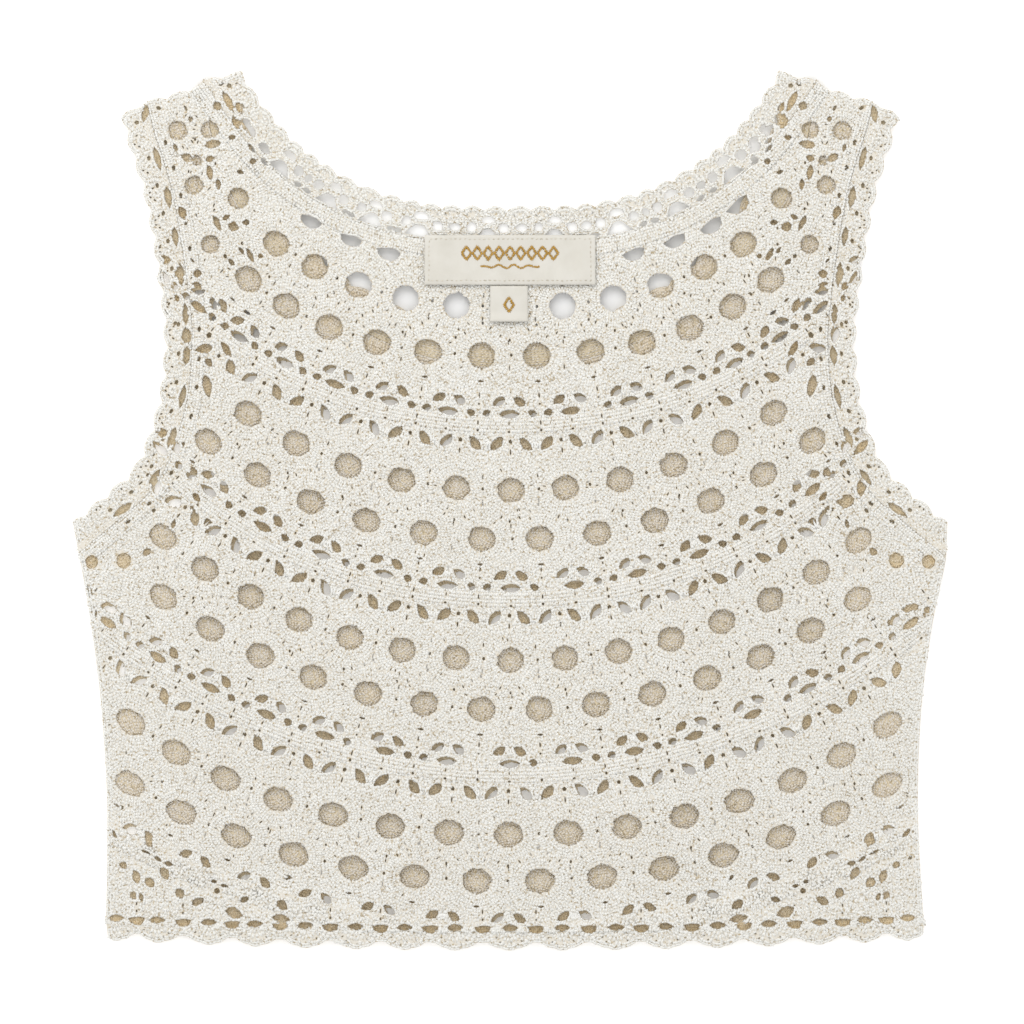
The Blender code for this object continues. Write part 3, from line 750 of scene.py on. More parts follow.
TAPE_ROW = RowWork(pitch=1.15, lean=22.0)
TAPE_EDGE = RowWork(turn=8.0, pitch=1.5, length=2.7, width=1.5, lean=0.0, tone=0.8)
SEAM_EDGE = RowWork(turn=8.0, pitch=1.5, length=2.7, width=1.6, lean=0.0, lift=0.08, tone=0.8)
NET_ROW = RowWork(turn=6.0, pitch=2.0, length=2.7, width=1.15, lean=0.0, tone=0.75)
HEM_ROW = RowWork(pitch=1.1)
HEM_EDGE = RowWork(turn=8.0, pitch=1.5, length=2.7, width=1.6)
LABEL_STITCH = RowWork(turn=0.0, pitch=2.3, length=1.5, width=0.75, lean=0.0, tone=0.5, run_on=0.0)
LOZENGE_FLOAT = RowWork(pitch=0.3, length=1.7, width=0.6, lean=0.0, lift=0.05, tone=0.6, run_on=0.0)
WAVE_FLOAT = RowWork(pitch=0.3, length=1.3, width=0.6, lean=0.0, lift=0.05, tone=0.6, run_on=0.0)


OPEN_FIRST_ROUND = 1.45  # how much further apart the posts of the first round about a cell stand
FEWEST_POSTS = 6  # in a round
POST_LEAN = 13.0


@dataclass(frozen=True)
class RoundWork:
    """How posts are worked in rounds about a cell or the foot of a fan.

    Attributes:
        first: How far outside the foot the first round lies.
        step: The room from round to round.
        pitch: The room from post to post in a round.
        reach: How far from the foot the rounds go on.
        length: A post's length.
        width: Its thickness.
        tone: Its mean tone.
    """

    first: float = 0.95
    step: float = 1.5
    pitch: float = 1.25
    reach: float = 62.0
    length: float = 3.0
    width: float = 1.95
    tone: float = 0.6

    def worked(self, feet: Sequence[Gap], rng: np.random.Generator) -> Stitches:
        """The posts about every foot, each kept only where its own foot is the nearest."""
        centres = np.array([(foot.x, foot.y) for foot in feet])
        sizes = np.array([(foot.half_long + foot.half_short) / 2 for foot in feet])
        groups = []
        for own, foot in enumerate(feet):
            for ring, away in enumerate(np.arange(self.first, self.reach, self.step)):
                in_cell = ring == 0 and foot.shape is Shape.ROUND
                pitch = self.pitch * (OPEN_FIRST_ROUND if in_cell else 1.0)
                count = max(FEWEST_POSTS, round(2 * math.pi * (sizes[own] + away) / pitch))
                turns = 2 * math.pi * (np.arange(count) + 0.5 * (ring % 2)) / count
                spoke = np.column_stack([np.cos(turns), np.sin(turns)])
                halves = np.array([foot.half_long, foot.half_short]) + away
                place = turned(spoke * halves, foot.turn) + centres[own]
                place = place + rng.normal(0.0, min(0.3, 0.02 * away), place.shape)
                others = np.hypot(*(place[:, None] - centres).transpose(2, 0, 1)) - sizes
                mine = others.argmin(axis=1) == own
                if not mine.any():
                    break
                posts = Stitches.laid(
                    place, turned(spoke, foot.turn), rng, self.length, self.width,
                    tone=self.tone, lean=POST_LEAN, stray=min(26.0, 7.0 + 1.6 * away),
                )
                groups.append(posts.where(mine))
        return Stitches.together(groups)


# ---------------------------------------------------------------- finishes


def linear(code: str) -> tuple[float, float, float, float]:
    """A linear colour from an sRGB hex code."""
    channels = [int(code[i : i + 2], 16) / 255 for i in (0, 2, 4)]
    red, green, blue = (c / 12.92 if c <= 0.04045 else ((c + 0.055) / 1.055) ** 2.4 for c in channels)
    return red, green, blue, 1.0


def fill(tree: Tree, node: bpy.types.Node, inputs: dict[int | str, object]) -> None:
    """Gives a node a value or another node's output for each input, by name or number."""
    for name, value in inputs.items():
        if isinstance(value, Socket):
            tree.links.new(value, node.inputs[name])
        else:
            node.inputs[name].default_value = value


def add(
    tree: Tree, kind: str, inputs: dict[int | str, object] | None = None, **settings: object
) -> bpy.types.Node:
    """Adds a node.

    Args:
        tree: The material's node tree.
        kind: The node's type.
        inputs: A value or another node's output for each input, by name or number.
        settings: The node's own properties.

    Returns:
        The node.
    """
    node = tree.nodes.new(kind)
    for name, value in settings.items():
        setattr(node, name, value)
    fill(tree, node, inputs or {})
    return node


def blank(name: str) -> tuple[Material, Tree, bpy.types.Node]:
    """A new material with its tree and its shader."""
    material = bpy.data.materials.new(name)
    material.use_nodes = True
    return material, material.node_tree, material.node_tree.nodes["Principled BSDF"]


@dataclass(frozen=True)
class CrochetCotton:
    """Ecru cotton crochet thread, spun soft and plied: matt, with a faint fuzz that lightens its edges."""

    name: str
    bright: str  # colour of a strand with a tone of 1
    shaded: str  # colour of a strand with a tone of 0, which the lower layer's darkened strands move towards as painted shade
    crevice_shade: str = "B3A07C"  # colour of the painted shade in the creases
    roughness: float = 0.88
    fibre: float = 0.5  # mm between tufts of fibre. Real fibres are finer than the render shows.
    crease: float = 1.2  # mm between the painted shade marks of the creases where plies and loops meet
    through: float = 0.0  # strength of a painted glow on strands of no tone, weaker as the tone rises

    def made(self) -> Material:
        """The material. Strands differ in tone, as thread does between the light and the dark ply; on the
        lower layer the tone also carries painted light and shade.
        """
        material, tree, shader = blank(self.name)
        place = add(tree, "ShaderNodeTexCoord").outputs["Object"]
        tone = add(tree, "ShaderNodeAttribute", attribute_name="tone").outputs["Fac"]
        soil = add(tree, "ShaderNodeTexNoise", {"Vector": place, "Scale": 45.0, "Detail": 3.0}).outputs["Fac"]
        tuft = add(
            tree, "ShaderNodeTexNoise", {"Vector": place, "Scale": 1 / (self.fibre * METRES), "Detail": 2.0}
        ).outputs["Fac"]
        uneven = add(tree, "ShaderNodeMath", {0: soil, 1: 0.5}, operation="SUBTRACT").outputs[0]
        uneven = add(
            tree, "ShaderNodeMath", {0: uneven, 1: 0.5, 2: tone}, operation="MULTIPLY_ADD"
        ).outputs[0]
        speck = add(tree, "ShaderNodeMath", {0: tuft, 1: 0.5}, operation="SUBTRACT").outputs[0]
        share = add(
            tree, "ShaderNodeMath", {0: speck, 1: 0.7, 2: uneven}, operation="MULTIPLY_ADD", use_clamp=True
        ).outputs[0]
        plies = add(
            tree, "ShaderNodeMix", {"Factor": share, "A": linear(self.shaded), "B": linear(self.bright)},
            data_type="RGBA",
        ).outputs["Result"]
        # Painted shade: noise lays the crevice colour in small dark creases, at random places
        crease_shade_noise = add(
            tree, "ShaderNodeTexNoise", {"Vector": place, "Scale": 1 / (self.crease * METRES), "Detail": 1.5}
        ).outputs["Fac"]
        depth = add(
            tree, "ShaderNodeMapRange",
            {"Value": crease_shade_noise, "From Min": 0.43, "From Max": 0.32, "To Min": 0.0, "To Max": 0.8},
        ).outputs["Result"]
        with_crease_shade = add(
            tree, "ShaderNodeMix", {"Factor": depth, "A": plies, "B": linear(self.crevice_shade)}, data_type="RGBA"
        ).outputs["Result"]
        fuzz = add(tree, "ShaderNodeBump", {"Height": tuft, "Strength": 0.5, "Distance": 0.12 * METRES})
        fill(tree, shader, {
            "Base Color": with_crease_shade,
            "Normal": fuzz.outputs["Normal"],
            "Roughness": self.roughness,
            "IOR": 1.5,
            "Specular IOR Level": 0.3,
            "Sheen Weight": 0.12,
            "Sheen Roughness": 0.5,
        })
        # Painted glow: strands glow more the lower their tone, which lightens the shaded gaps
        if self.through:
            through = add(
                tree, "ShaderNodeMath", {0: tone, 1: -self.through, 2: self.through},
                operation="MULTIPLY_ADD", use_clamp=True,
            ).outputs[0]
            fill(tree, shader, {"Emission Strength": through, "Emission Color": linear("CFBD9C")})
        return material


@dataclass(frozen=True)
class WovenSatin:
    """Woven polyester satin label tape: close vertical floats that give a soft, even sheen."""

    name: str
    colour: str
    # shaded: colour in the weave's dips between floats, painted shade, and in the darker clouds, which vary
    # at random
    shaded: str
    roughness: float = 0.48
    thread: float = 0.42  # mm from float to float, about twice the real spacing so that it shows

    def made(self) -> Material:
        """The material."""
        material, tree, shader = blank(self.name)
        place = add(tree, "ShaderNodeTexCoord").outputs["Object"]
        turns = 2 * math.pi / (20 * self.thread * METRES)  # a Wave texture has 20 bands in 2 pi
        floats, picks = (
            add(
                tree, "ShaderNodeTexWave",
                {"Vector": place, "Scale": scale, "Distortion": distortion, "Detail": 2.0},
                bands_direction=across,
            ).outputs["Fac"]
            for scale, distortion, across in ((turns, 0.6, "X"), (turns * 0.8, 0.8, "Y"))
        )
        weave = add(
            tree, "ShaderNodeMath", {0: picks, 1: 0.5, 2: floats}, operation="MULTIPLY_ADD"
        ).outputs[0]
        cloud = add(
            tree, "ShaderNodeTexNoise", {"Vector": place, "Scale": 120.0, "Detail": 3.0}
        ).outputs["Fac"]
        share = add(
            tree, "ShaderNodeMath", {0: weave, 1: 0.22, 2: cloud}, operation="MULTIPLY_ADD"
        ).outputs[0]
        # Painted shade between floats, mixed with random clouds
        mixed = add(
            tree, "ShaderNodeMix", {"Factor": share, "A": linear(self.shaded), "B": linear(self.colour)},
            data_type="RGBA",
        )
        relief = add(tree, "ShaderNodeBump", {"Height": weave, "Strength": 0.35, "Distance": 0.06 * METRES})
        fill(tree, shader, {
            "Base Color": mixed.outputs["Result"],
            "Normal": relief.outputs["Normal"],
            "Roughness": self.roughness,
            "IOR": 1.52,
            "Sheen Weight": 0.15,
        })
        return material


@dataclass(frozen=True)
class RayonThread:
    """Rayon thread, as the gold weft of a label or the cream that sews it on: it catches a soft highlight."""

    name: str
    bright: str
    shaded: str

    def made(self) -> Material:
        """The material."""
        material, tree, shader = blank(self.name)
        tone = add(tree, "ShaderNodeAttribute", attribute_name="tone").outputs["Fac"]
        mixed = add(
            tree, "ShaderNodeMix", {"Factor": tone, "A": linear(self.shaded), "B": linear(self.bright)},
            data_type="RGBA",
        )
        fill(tree, shader, {
            "Base Color": mixed.outputs["Result"],
            "Roughness": 0.42,
            "IOR": 1.53,
            "Sheen Weight": 0.1,
        })
        return material


# ---------------------------------------------------------------- crochet pieces

GRID_STEP = 7.0  # between a shell's points
EDGE_STEP = 4.0  # between its points along the slopes of the tapes
SLOPE_REACH = 440.0  # how far along a tape those points go on


def shell(
    name: str,
    outline: Plan,
    gaps: Sequence[Gap],
    layer: Layer,
    material: Material,
    rng: np.random.Generator,
) -> bpy.types.Object:
    """The thin closed shell under a piece's strands.

    Blender's constrained Delaunay fill makes the flat sheet, with a grid of points in it so that
    it can follow the folds. The sheet is extruded, and each point goes to its layer's height.

    Args:
        name: The piece's name.
        outline: Its counter-clockwise outline.
        gaps: What is cut through it. A gap may cross the outline.
        layer: The layer that it is in.
        material: Its finish.
        rng: Where the gaps' unevenness is drawn from.

    Returns:
        The piece.
    """
    loops = [outline, *(gap.outline(rng) for gap in gaps)]
    low, high = outline.min(axis=0), outline.max(axis=0)
    xs, ys = np.arange(low[0], high[0], GRID_STEP), np.arange(low[1], high[1], GRID_STEP)
    grid = np.stack(np.meshgrid(xs, ys), axis=-1).reshape(-1, 2)
    slopes = [
        tape.path().at(np.arange(EDGE_STEP, SLOPE_REACH, EDGE_STEP), side)[0]
        for tape in TAPES[:CROSS_TAPES]
        for side in (-TAPE_HALF, 1 - TAPE_HALF, TAPE_HALF - 1, TAPE_HALF)
    ]
    for path, width, tape in (
        (layer.neck, NECK_WIDTH, NECK_TAPE),
        (ARMHOLE_PATH, -ARMHOLE_WIDTH, -ARMHOLE_TAPE),
        (LEFT_ARMHOLE_PATH, -ARMHOLE_WIDTH, -ARMHOLE_TAPE),
    ):
        steps = np.arange(EDGE_STEP / 2, path.length, EDGE_STEP)
        slopes += [path.at(steps, width + share * tape)[0] for share in (0.06, 0.5, 0.85, 1.0)]
    inner = np.vstack([grid, *slopes])
    inner = inner[inside(outline, inner)]
    starts = np.cumsum([0, *(len(loop) for loop in loops)])
    faces = [list(range(a, b)) for a, b in zip(starts, starts[1:])]
    points = np.vstack([*loops, inner]).tolist()
    flat, _, triangles, _, _, sources = delaunay_2d_cdt(points, [], faces, 0, 1e-4)
    sheet = bmesh.new()
    corners = [sheet.verts.new((p.x, p.y, 0.0)) for p in flat]
    for triangle, source in zip(triangles, sources):
        if 0 in source and len(source) == 1:
            sheet.faces.new([corners[i] for i in triangle])
    bmesh.ops.delete(sheet, geom=[v for v in sheet.verts if not v.link_faces], context="VERTS")
    raised = bmesh.ops.extrude_face_region(sheet, geom=sheet.faces[:])["geom"]
    upper = {v for v in raised if isinstance(v, bmesh.types.BMVert)}
    plan = np.array([v.co.xy for v in sheet.verts])
    below, above = layer.shell_underside(plan), layer.face(plan)
    for vertex, low_z, high_z in zip(sheet.verts, below, above):
        vertex.co.z = high_z if vertex in upper else low_z
    bmesh.ops.scale(sheet, vec=(METRES,) * 3, verts=sheet.verts)
    bmesh.ops.recalc_face_normals(sheet, faces=sheet.faces)
    mesh = bpy.data.meshes.new(name)
    sheet.to_mesh(mesh)
    sheet.free()
    mesh.shade_smooth()
    mesh.set_sharp_from_angle(angle=math.radians(50))
    mesh.materials.append(material)
    return placed(name, mesh)


def cut_area(gaps: Sequence[Gap], outline: Plan) -> float:
    """The flat area in square metres of the outline less its gaps."""

    def area(loop: Plan) -> float:
        x, y = loop.T
        return abs(float(np.dot(x, np.roll(y, -1)) - np.dot(y, np.roll(x, -1)))) / 2

    centres = np.array([(gap.x, gap.y) for gap in gaps])
    lost = sum(
        area(np.array(gap.shape.value)) * gap.half_long * gap.half_short
        for gap, within in zip(gaps, inside(outline, centres)) if within
    )
    return (area(outline) - lost) * METRES**2


class Station(Enum):
    """Places along a tape, from the course that each is read off: (steps to that course, phase)."""

    OVER_POST = (0, 0.0)
    OVER_CELL = (0, 0.5)
    UNDER_FORK = (1, 0.5)
    UNDER_KNOT = (1, 0.0)


@dataclass(frozen=True)
class Motif:
    """A gap that repeats along the tapes.

    Attributes:
        station: Where it repeats.
        aside: How far along the tape from its station it lies.
        above: How far above the tape's middle it lies.
        half_long: Half its length.
        half_short: Half its breadth.
        turn: Its turn from the tape.
        shape: Its outline.
        likely: How many of its places it is open at.
        mirrored: Whether it comes on both sides of its station.
        forked: Whether smooth strands stand at its station, between the two.
    """

    station: Station
    aside: float
    above: float
    half_long: float
    half_short: float
    turn: float
    shape: Shape
    likely: float = 1.0
    mirrored: bool = False
    forked: bool = False


TAPE_MOTIFS = (
    Motif(Station.OVER_POST, 5.1, 11.4, 3.6, 2.3, -32, Shape.LEAF, mirrored=True, forked=True),
    Motif(Station.OVER_POST, 0.0, 5.7, 5.2, 2.2, 0, Shape.LENS),
    Motif(Station.OVER_CELL, 3.9, 5.8, 2.3, 1.9, 20, Shape.LEAF, 0.85, mirrored=True),
    Motif(Station.OVER_CELL, 0.0, 14.4, 1.4, 0.4, 90, Shape.DASH),
    Motif(Station.OVER_CELL, 0.0, 10.2, 0.6, 0.55, 90, Shape.PIN),
    Motif(Station.OVER_CELL, 0.0, 1.2, 1.3, 0.42, 90, Shape.DASH, 0.8),
    Motif(Station.OVER_CELL, 0.0, -2.3, 0.9, 0.65, 90, Shape.PIN),
    Motif(Station.OVER_POST, 0.0, 1.2, 1.1, 0.36, 90, Shape.DASH, 0.8),
    Motif(Station.OVER_POST, 0.0, -2.9, 0.8, 0.6, 0, Shape.PIN),
    Motif(Station.UNDER_FORK, 5.2, -8.8, 4.4, 2.5, 47, Shape.LEAF, mirrored=True, forked=True),
    Motif(Station.UNDER_KNOT, 0.0, -7.5, 1.15, 1.05, 90, Shape.PIN),
    Motif(Station.UNDER_KNOT, 0.0, -12.6, 1.5, 0.42, 90, Shape.DASH),
)
LAST_TAPE_MOTIFS = (
    Motif(Station.OVER_POST, 5.2, 8.0, 3.6, 2.2, -32, Shape.LEAF, mirrored=True, forked=True),
)

# Odd gaps where the courses run out, at the straps, the underarms and the corners of the hem: X, Y,
# half length, half breadth, turn and shape. They are on the right half and come again on the left.
ODD_GAP_ROWS = (
    (142.6, 176.0, 4.4, 2.3, -10, "LENS"), (134.8, 204.2, 1.4, 1.3, 0, "PIN"),
    (138.6, 205.1, 1.6, 1.0, -30, "PIN"), (140.6, 194.4, 2.6, 2.2, 60, "LENS"),
    (135.3, 196.6, 6.0, 1.9, 62, "LENS"), (130.0, 193.4, 3.6, 1.6, 65, "LENS"),
    (131.4, 186.4, 3.6, 2.0, 60, "LENS"), (124.4, 182.6, 3.6, 2.4, 60, "LENS"),
    (133.5, 179.3, 2.1, 1.4, -10, "LENS"), (124.2, 174.1, 2.9, 1.1, 52, "LENS"),
    (117.8, 174.1, 3.7, 2.4, 45, "LEAF"), (117.7, 167.7, 2.6, 1.4, 50, "LEAF"),
    (123.4, 167.8, 1.8, 1.7, 0, "LENS"), (129.5, 162.7, 1.9, 1.2, 20, "LENS"),
    (153.3, 188.2, 1.6, 1.3, 90, "LENS"), (155.8, 193.4, 1.7, 0.8, 60, "PIN"),
    (168.7, 193.4, 1.4, 1.0, 30, "PIN"), (175.1, 190.6, 4.4, 1.9, 100, "LEAF"),
    (179.2, 186.5, 1.3, 1.2, 0, "PIN"), (144.0, 169.2, 2.4, 1.8, -20, "LEAF"),
    (154.9, 169.6, 3.4, 2.2, 25, "LENS"), (160.6, 174.4, 2.2, 1.1, 70, "LENS"),
    (144.0, 162.3, 4.0, 1.8, 80, "LEAF"), (140.0, 156.7, 3.0, 1.4, 85, "LENS"),
    (157.0, 143.0, 3.6, 2.2, 70, "LEAF"), (126.6, 138.5, 2.0, 1.6, 0, "LENS"),
    (132.7, 136.5, 2.9, 2.6, 20, "LENS"), (136.3, 141.0, 2.2, 1.4, -30, "LEAF"),
    (140.4, 138.1, 4.4, 1.6, 65, "LEAF"), (124.6, 122.8, 4.0, 1.5, 62, "LEAF"),
    (128.7, 124.8, 2.4, 1.0, 50, "LEAF"), (119.7, 122.4, 1.5, 1.3, 0, "LENS"),
    (133.5, 119.5, 2.2, 1.3, 45, "LEAF"), (136.7, 122.3, 1.3, 1.0, 80, "PIN"),
    (150.1, 113.9, 2.4, 2.3, 0, "LENS"), (150.1, 108.4, 3.0, 1.6, 20, "LENS"),
    (159.8, 102.1, 1.9, 1.2, 80, "LENS"), (156.2, 95.7, 1.6, 1.1, 30, "LENS"),
    (137.6, 98.5, 3.9, 2.2, 65, "LEAF"), (143.2, 100.9, 2.1, 1.6, 30, "LENS"),
    (126.3, 95.3, 2.1, 1.0, 35, "LENS"), (144.4, 84.4, 1.7, 1.4, -60, "PIN"),
    (135.9, 77.4, 4.8, 1.9, 60, "LEAF"), (144.4, 71.4, 2.6, 1.9, 45, "LEAF"),
    (145.1, 59.8, 5.8, 2.6, 80, "LEAF"), (151.8, 18.6, 2.9, 1.9, 70, "LENS"),
    (161.3, 4.5, 4.1, 3.4, 20, "ROUND"), (150.3, 6.6, 2.9, 1.7, 50, "LEAF"),
    (152.1, 0.6, 2.4, 1.2, 60, "LEAF"), (145.1, -5.4, 2.2, 2.2, 0, "LEAF"),
    (161.6, -6.1, 2.4, 1.2, -75, "LEAF"), (171.1, 0.2, 1.4, 1.0, -40, "PIN"),
    (174.3, -19.5, 2.4, 1.9, -40, "LEAF"), (185.5, -23.8, 3.7, 3.9, 0, "ROUND"),
    (200.9, -24.4, 3.2, 3.4, 0, "ROUND"), (190.9, -47.1, 3.6, 2.2, 20, "LEAF"),
    (183.6, -52.9, 3.4, 2.2, 50, "LEAF"), (190.9, -53.8, 1.4, 1.4, 0, "PIN"),
    (198.9, -49.3, 2.2, 0.7, -80, "LENS"), (190.3, -154.8, 3.1, 1.2, 50, "LEAF"),
    (186.6, -142.4, 1.4, 1.2, 0, "PIN"), (181.1, -153.7, 3.1, 1.9, -10, "LEAF"),
    (173.4, -158.5, 3.4, 2.2, 55, "LEAF"), (174.8, -163.7, 2.9, 0.7, 25, "LENS"),
    (192.1, -166.6, 1.4, 1.0, 50, "PIN"), (185.5, -170.1, 2.2, 1.9, 40, "LEAF"),
    (179.2, -175.7, 3.6, 2.2, 75, "LEAF"), (173.0, -178.4, 3.1, 2.4, 50, "LENS"),
    (169.0, -167.0, 2.4, 1.0, 35, "LENS"), (163.8, -169.2, 2.4, 1.4, 15, "LEAF"),
    (165.6, -174.0, 3.6, 2.4, 60, "LEAF"), (180.7, -184.6, 2.2, 1.9, 60, "LEAF"),
    (177.0, -185.4, 2.2, 1.4, 70, "LEAF"), (158.3, -183.5, 2.9, 2.4, 60, "LEAF"),
    (149.9, -187.2, 3.4, 2.2, -25, "LEAF"), (142.1, -177.8, 1.7, 1.0, 10, "LENS"),
    (137.0, -179.9, 1.9, 1.0, 15, "LENS"), (140.6, -182.2, 1.4, 1.4, 0, "ROUND"),
    (127.4, -186.4, 2.6, 1.7, -20, "LENS"), (132.2, -192.7, 4.6, 2.9, 20, "LEAF"),
    (109.1, -189.0, 3.4, 2.4, 40, "LEAF"), (109.8, -195.6, 4.8, 2.2, 10, "LENS"),
    (106.1, -175.8, 1.9, 1.0, 30, "LENS"),
)
ODD_GAPS = tuple(Gap(*values, Shape[shape]) for *values, shape in ODD_GAP_ROWS)

# The upper neck, by length from its middle: the crests of its uneven scallops, the open triangles
# of its net, and the slots in the panel below its tape, with their distance from the crests' line
NECK_CRESTS = (
    -152.0, -140.6, -127.9, -117.9, -107.5, -99.0, -90.2, -79.6, -67.0, -55.9,
    -46.6, -37.4, -27.9, -17.7, -7.0, 4.6, 15.4, 26.6, 36.0, 45.6,
    56.2, 65.2, 74.6, 85.2, 94.7, 103.4, 112.2, 120.9, 130.0, 140.4, 152.0,
)
NET_STATIONS = (-131.5, -107.7, -82.4, -62.7, -41.6, -10.5, 21.3, 49.5, 75.4, 103.5, 134.7)
NET_PITCH = 26.0  # from the last triangle to the next one's place
NET_REACH = 125.0  # further on, near the straps, the net is plain
NECK_SLOTS = (
    (-84.7, 28.0), (-67.5, 27.6), (-52.0, 28.3), (52.7, 28.9), (69.4, 29.2), (84.4, 30.4), (97.6, 29.4),
)


def net_gaps(rng: np.random.Generator) -> list[Gap]:
    """The gaps in the upper neck's net, and the slots under the neck tape.

    Each triangle has a half moon over it, an oval on each side and then a slit. A flat oval lies
    midway to the next triangle where there is room.
    """
    middle = NECK_PATH.length / 2
    last = middle - 5.0  # beyond it, at the shoulders, there is no room for a gap
    found = []

    def cut(
        along: float, depth: float, half_long: float, half_short: float, turn: float, shape: Shape
    ) -> None:
        if abs(along) < last:
            point, tangent = NECK_PATH.at(middle + along, depth)
            size = rng.uniform(0.92, 1.08)
            found.append(gap_at(point, tangent, half_long * size, half_short * size, turn, shape))

    for here, ahead in zip(NET_STATIONS, [*NET_STATIONS[1:], NET_STATIONS[-1] + NET_PITCH]):
        if abs(here) > NET_REACH:
            cut(here, 13.0, 4.4, 2.4, 0, Shape.ARCH)
            continue
        cut(here, 14.2, 6.7, 2.9, 0, Shape.ARCH)
        cut(here + 0.3, 7.2, 3.9, 1.9, 180, Shape.BOWL)
        aside = min(7.8, 0.29 * (ahead - here))
        cut(here + aside, 10.9, 2.9, 2.7, -35, Shape.LENS)
        cut(ahead - aside, 10.7, 2.8, 2.6, 35, Shape.LENS)
        room = (ahead - here) / 2 - aside - 3.4
        if room > 1.4:
            cut((here + ahead) / 2, 10.8, min(3.5, room), 2.2, 0, Shape.LENS)
        cut(here + aside + 3.0, 16.0, 2.4, 1.3, 6, Shape.LENS)
        cut(ahead - aside - 3.0, 16.0, 2.4, 1.3, -6, Shape.LENS)
    cut(NET_STATIONS[0] - 7.6, 10.7, 2.8, 2.6, 35, Shape.LENS)
    for along, depth in NECK_SLOTS:
        cut(along, depth, 5.9, 3.0, 3, Shape.BOWL)
    return found


def armhole_gaps() -> list[Gap]:
    """The slits between each armhole's edging and its tape, and the pinholes in both."""
    found = []
    length = ARMHOLE_PATH.length
    for i, along in enumerate(np.arange(22.0, length - 8.0, 18.4)):
        point, tangent = ARMHOLE_PATH.at(along, -11.2)
        found.append(gap_at(point, tangent, (6.2, 5.0, 5.6)[i % 3], (2.0, 1.7)[i % 2], 3, Shape.LENS))
    for along in np.arange(17.0, length - 20.0, length / ARMHOLE_SCALLOPS):
        point, tangent = ARMHOLE_PATH.at(along, -7.4)
        found.append(gap_at(point, tangent, 1.4, 1.0, 15, Shape.PIN))
    for along in np.arange(20.0, length - 12.0, 12.4):
        point, tangent = ARMHOLE_PATH.at(along, -17.3)
        found.append(gap_at(point, tangent, 1.6, 1.0, 10, Shape.PIN))
    return found + [gap.mirrored() for gap in found]


def hem_gaps() -> list[Gap]:
    """The gaps over the hem: one at each fan's foot with pinholes round it, and three between fans."""
    found = []
    crests = np.array(HEM_CRESTS)
    for x, y in zip(crests, hem_line(crests)):
        found.append(Gap(float(x), float(y) + 10.9, 4.2, 1.9, 180, Shape.LENS))
        for turn in np.radians(np.arange(-152.0, -20.0, 22.0)):
            pin_x, pin_y = x + 7.4 * math.cos(turn), y + 9.6 + 7.4 * math.sin(turn)
            found.append(Gap(pin_x, pin_y, 0.7, 0.4, math.degrees(turn), Shape.PIN))
    between = (crests[:-1] + crests[1:]) / 2
    for x, y in zip(between, hem_line(between)):
        found.append(Gap(float(x), float(y) + 10.2, 4.1, 2.1, 0, Shape.BOWL))
        found.append(Gap(float(x), float(y) + 14.8, 0.8, 0.5, 90, Shape.PIN))
        found.append(Gap(float(x), float(y) + 18.6, 1.2, 0.4, 90, Shape.DASH))
    return found


def scallop_pins(
    path: Path, crests: Sequence[float], side: float, rng: np.random.Generator, inset: float = 0.0
) -> list[Gap]:
    """A few pinholes in each scallop of an edging, in a V.

    Args:
        path: The edging's line.
        crests: Where on it the scallops' crests lie.
        side: 1 if the edging lies on the line's right, -1 on its left.
        rng: Where it is drawn which ones are open.
        inset: How far inside the line the crests lie.

    Returns:
        The pinholes.
    """
    found = []
    for crest in crests:
        for aside, depth in ((-2.6, 4.7), (-0.9, 2.9), (1.3, 3.1), (2.9, 5.0)):
            if rng.uniform() < 0.8 and 3.0 < crest + aside < path.length - 3.0:
                point, tangent = path.at(crest + aside, side * (depth + inset))
                found.append(gap_at(point, tangent, 0.75, 0.45, 60 * np.sign(aside), Shape.PIN))
    return found


def even_crests(path: Path, scallops: int) -> np.ndarray:
    """Where the crests of even scallops lie along a path, from one end to the other."""
    return np.arange(scallops + 1) * path.length / scallops


def motifs_by_tape() -> list[tuple[Path, Motif, np.ndarray]]:
    """Each tape's path with each of its motifs, and how far along it the motif's stations lie."""
    found = []
    for index, tape in enumerate(TAPES):
        path = tape.path()
        for motif in TAPE_MOTIFS if index < CROSS_TAPES else LAST_TAPE_MOTIFS:
            course_step, phase = motif.station.value
            along, _ = path.place(COURSES[2 * index + 1 + course_step].stations(phase))
            found.append((path, motif, along))
    return found


def tape_gaps(rng: np.random.Generator) -> list[Gap]:
    """The gaps that repeat above, on and below the tapes."""
    found = []
    for path, motif, along in motifs_by_tape():
        for side in (-1, 1) if motif.mirrored else (1,):
            points, tangents = path.at(along + motif.aside * side, -motif.above)
            for point, tangent in zip(points, tangents):
                if rng.uniform() < motif.likely:
                    turn = motif.turn * side
                    found.append(gap_at(point, tangent, motif.half_long, motif.half_short, turn, motif.shape))
    return found


def forks(rng: np.random.Generator) -> Stitches:
    """The smooth strands that stand between the leaves of each pair, spread like a fork."""
    groups = []
    for path, motif, along in motifs_by_tape():
        if not motif.forked:
            continue
        up = 1 if motif.above > 0 else -1
        for aside, lean in ((-1.9, -24), (-0.7, -8), (0.7, 8), (1.9, 24)):
            point, tangent = path.at(along + aside, -motif.above)
            way = turned(tangent, 90 + lean * up)
            groups.append(
                Stitches.laid(point, way, rng, length=6.6, width=1.25, lift=0.12, tone=1.0, stray=3.0)
            )
    return Stitches.together(groups)


FARTHEST_NEIGHBOUR = 34.0  # from cell to cell
LONGEST_SIDE = 36.0  # of the triangle between three neighbouring cells
COURSE_CURVE = 0.0034  # how fast the courses' slope grows from the middle, on the average


